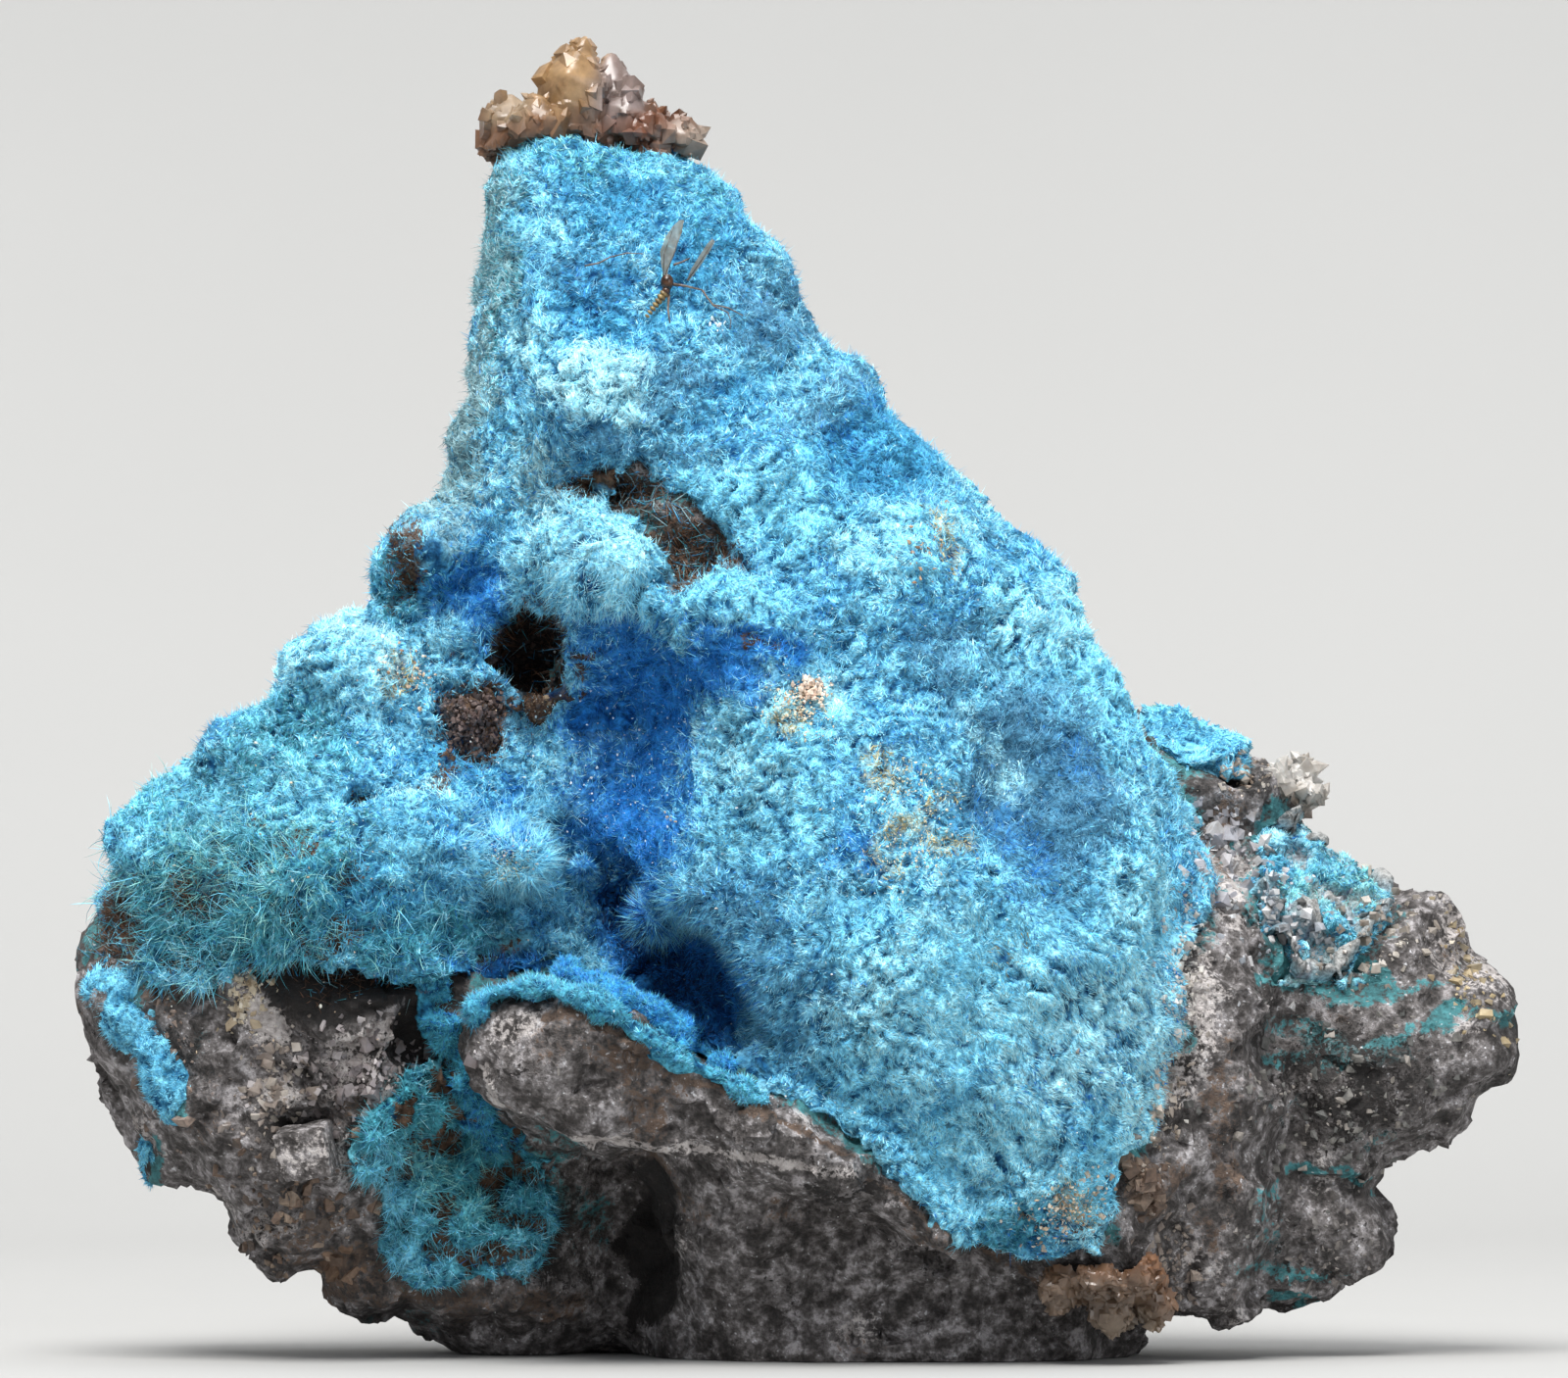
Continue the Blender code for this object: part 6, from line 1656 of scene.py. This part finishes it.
def make_grounds(material):
    """All the felt of the velvet: the crusts, the ledge's rim, the strips and the tufts, each with its needles'
    length, stand and count. The needles are shared out by area, and stand closer on the small pieces."""
    grounds = []
    for node, name, slot, low, high in CRUSTS:
        nodes = [] if name in ("shoulder_felt", "slab_felt") else [node]
        felt = crust_felt(node, name, low, high)
        grounds.append(make_felt(felt, slot, material, *nodes, sink=SINKS.get(name, FELT_SINK)))
    for ground, length in zip(grounds[4:], (0.16, 0.12)):
        ground["length"] = length
    rim = strip_felt("ledge_rim", RIM, 0.26, 0.3, 3)
    small = [(make_felt(rim, "blue_velvet", material, kinds=RIM_KINDS, calm=0.6), 0.15, 0.6)]
    for name, path, radius, kinds in STRIPS:
        strip = strip_felt(name, path, radius, 0.72, 1)
        small.append((make_felt(strip, "blue_velvet", material, kinds=kinds, calm=0.4), 0.15, 0.6))
    for number in range(len(TUFTS)):
        core, length = tuft_felt(number)
        small.append((make_felt(core, "blue_velvet", material), length, 0.85))
    for ground, length, stand in small:
        ground["length"], ground["stand"] = length, np.full(len(ground["points"]), stand)
    areas = [area_of(ground) for ground in grounds] + [area_of(ground) * 2.2 for ground, _, _ in small]
    grounds += [ground for ground, _, _ in small]
    for ground, area in zip(grounds, areas):
        ground["count"] = int(NEEDLES * area / sum(areas))
    return grounds


def main():
    group = grain_group()
    stone, felt, needles = rock_material(group), felt_material(group), needle_material()
    make_rock(stone)
    make_square_crystal(stone)
    grounds = make_grounds(felt)
    make_needles(grounds, needles)
    make_threads(grounds[1], needles)
    make_fibres(needles)
    tree = tree_of(*SURFACES)
    make_grains(tree)
    make_blocks("pale_blocks", tree, PALE_BLOCKS, quartz_material("milky_quartz", 0.3, 0.3))
    make_blocks("brown_blocks", tree, BROWN_BLOCKS, tinted_material("brown_stone", 0.6))
    make_quartz("tip_quartz", "honey_quartz", quartz_material("honey_quartz", 0.6, 0.3), 330, 0.46, 0.5)
    make_quartz("peak_quartz", "clear_quartz", quartz_material("clear_quartz", 0.6, 0.3), 110, 0.5)
    make_quartz("corner_quartz", "brown_quartz", quartz_material("brown_quartz", 0.5, 0.3), 480, 0.26)
    make_gnat(tree)
    make_stage()
    light_scene()
    add_camera()


main()
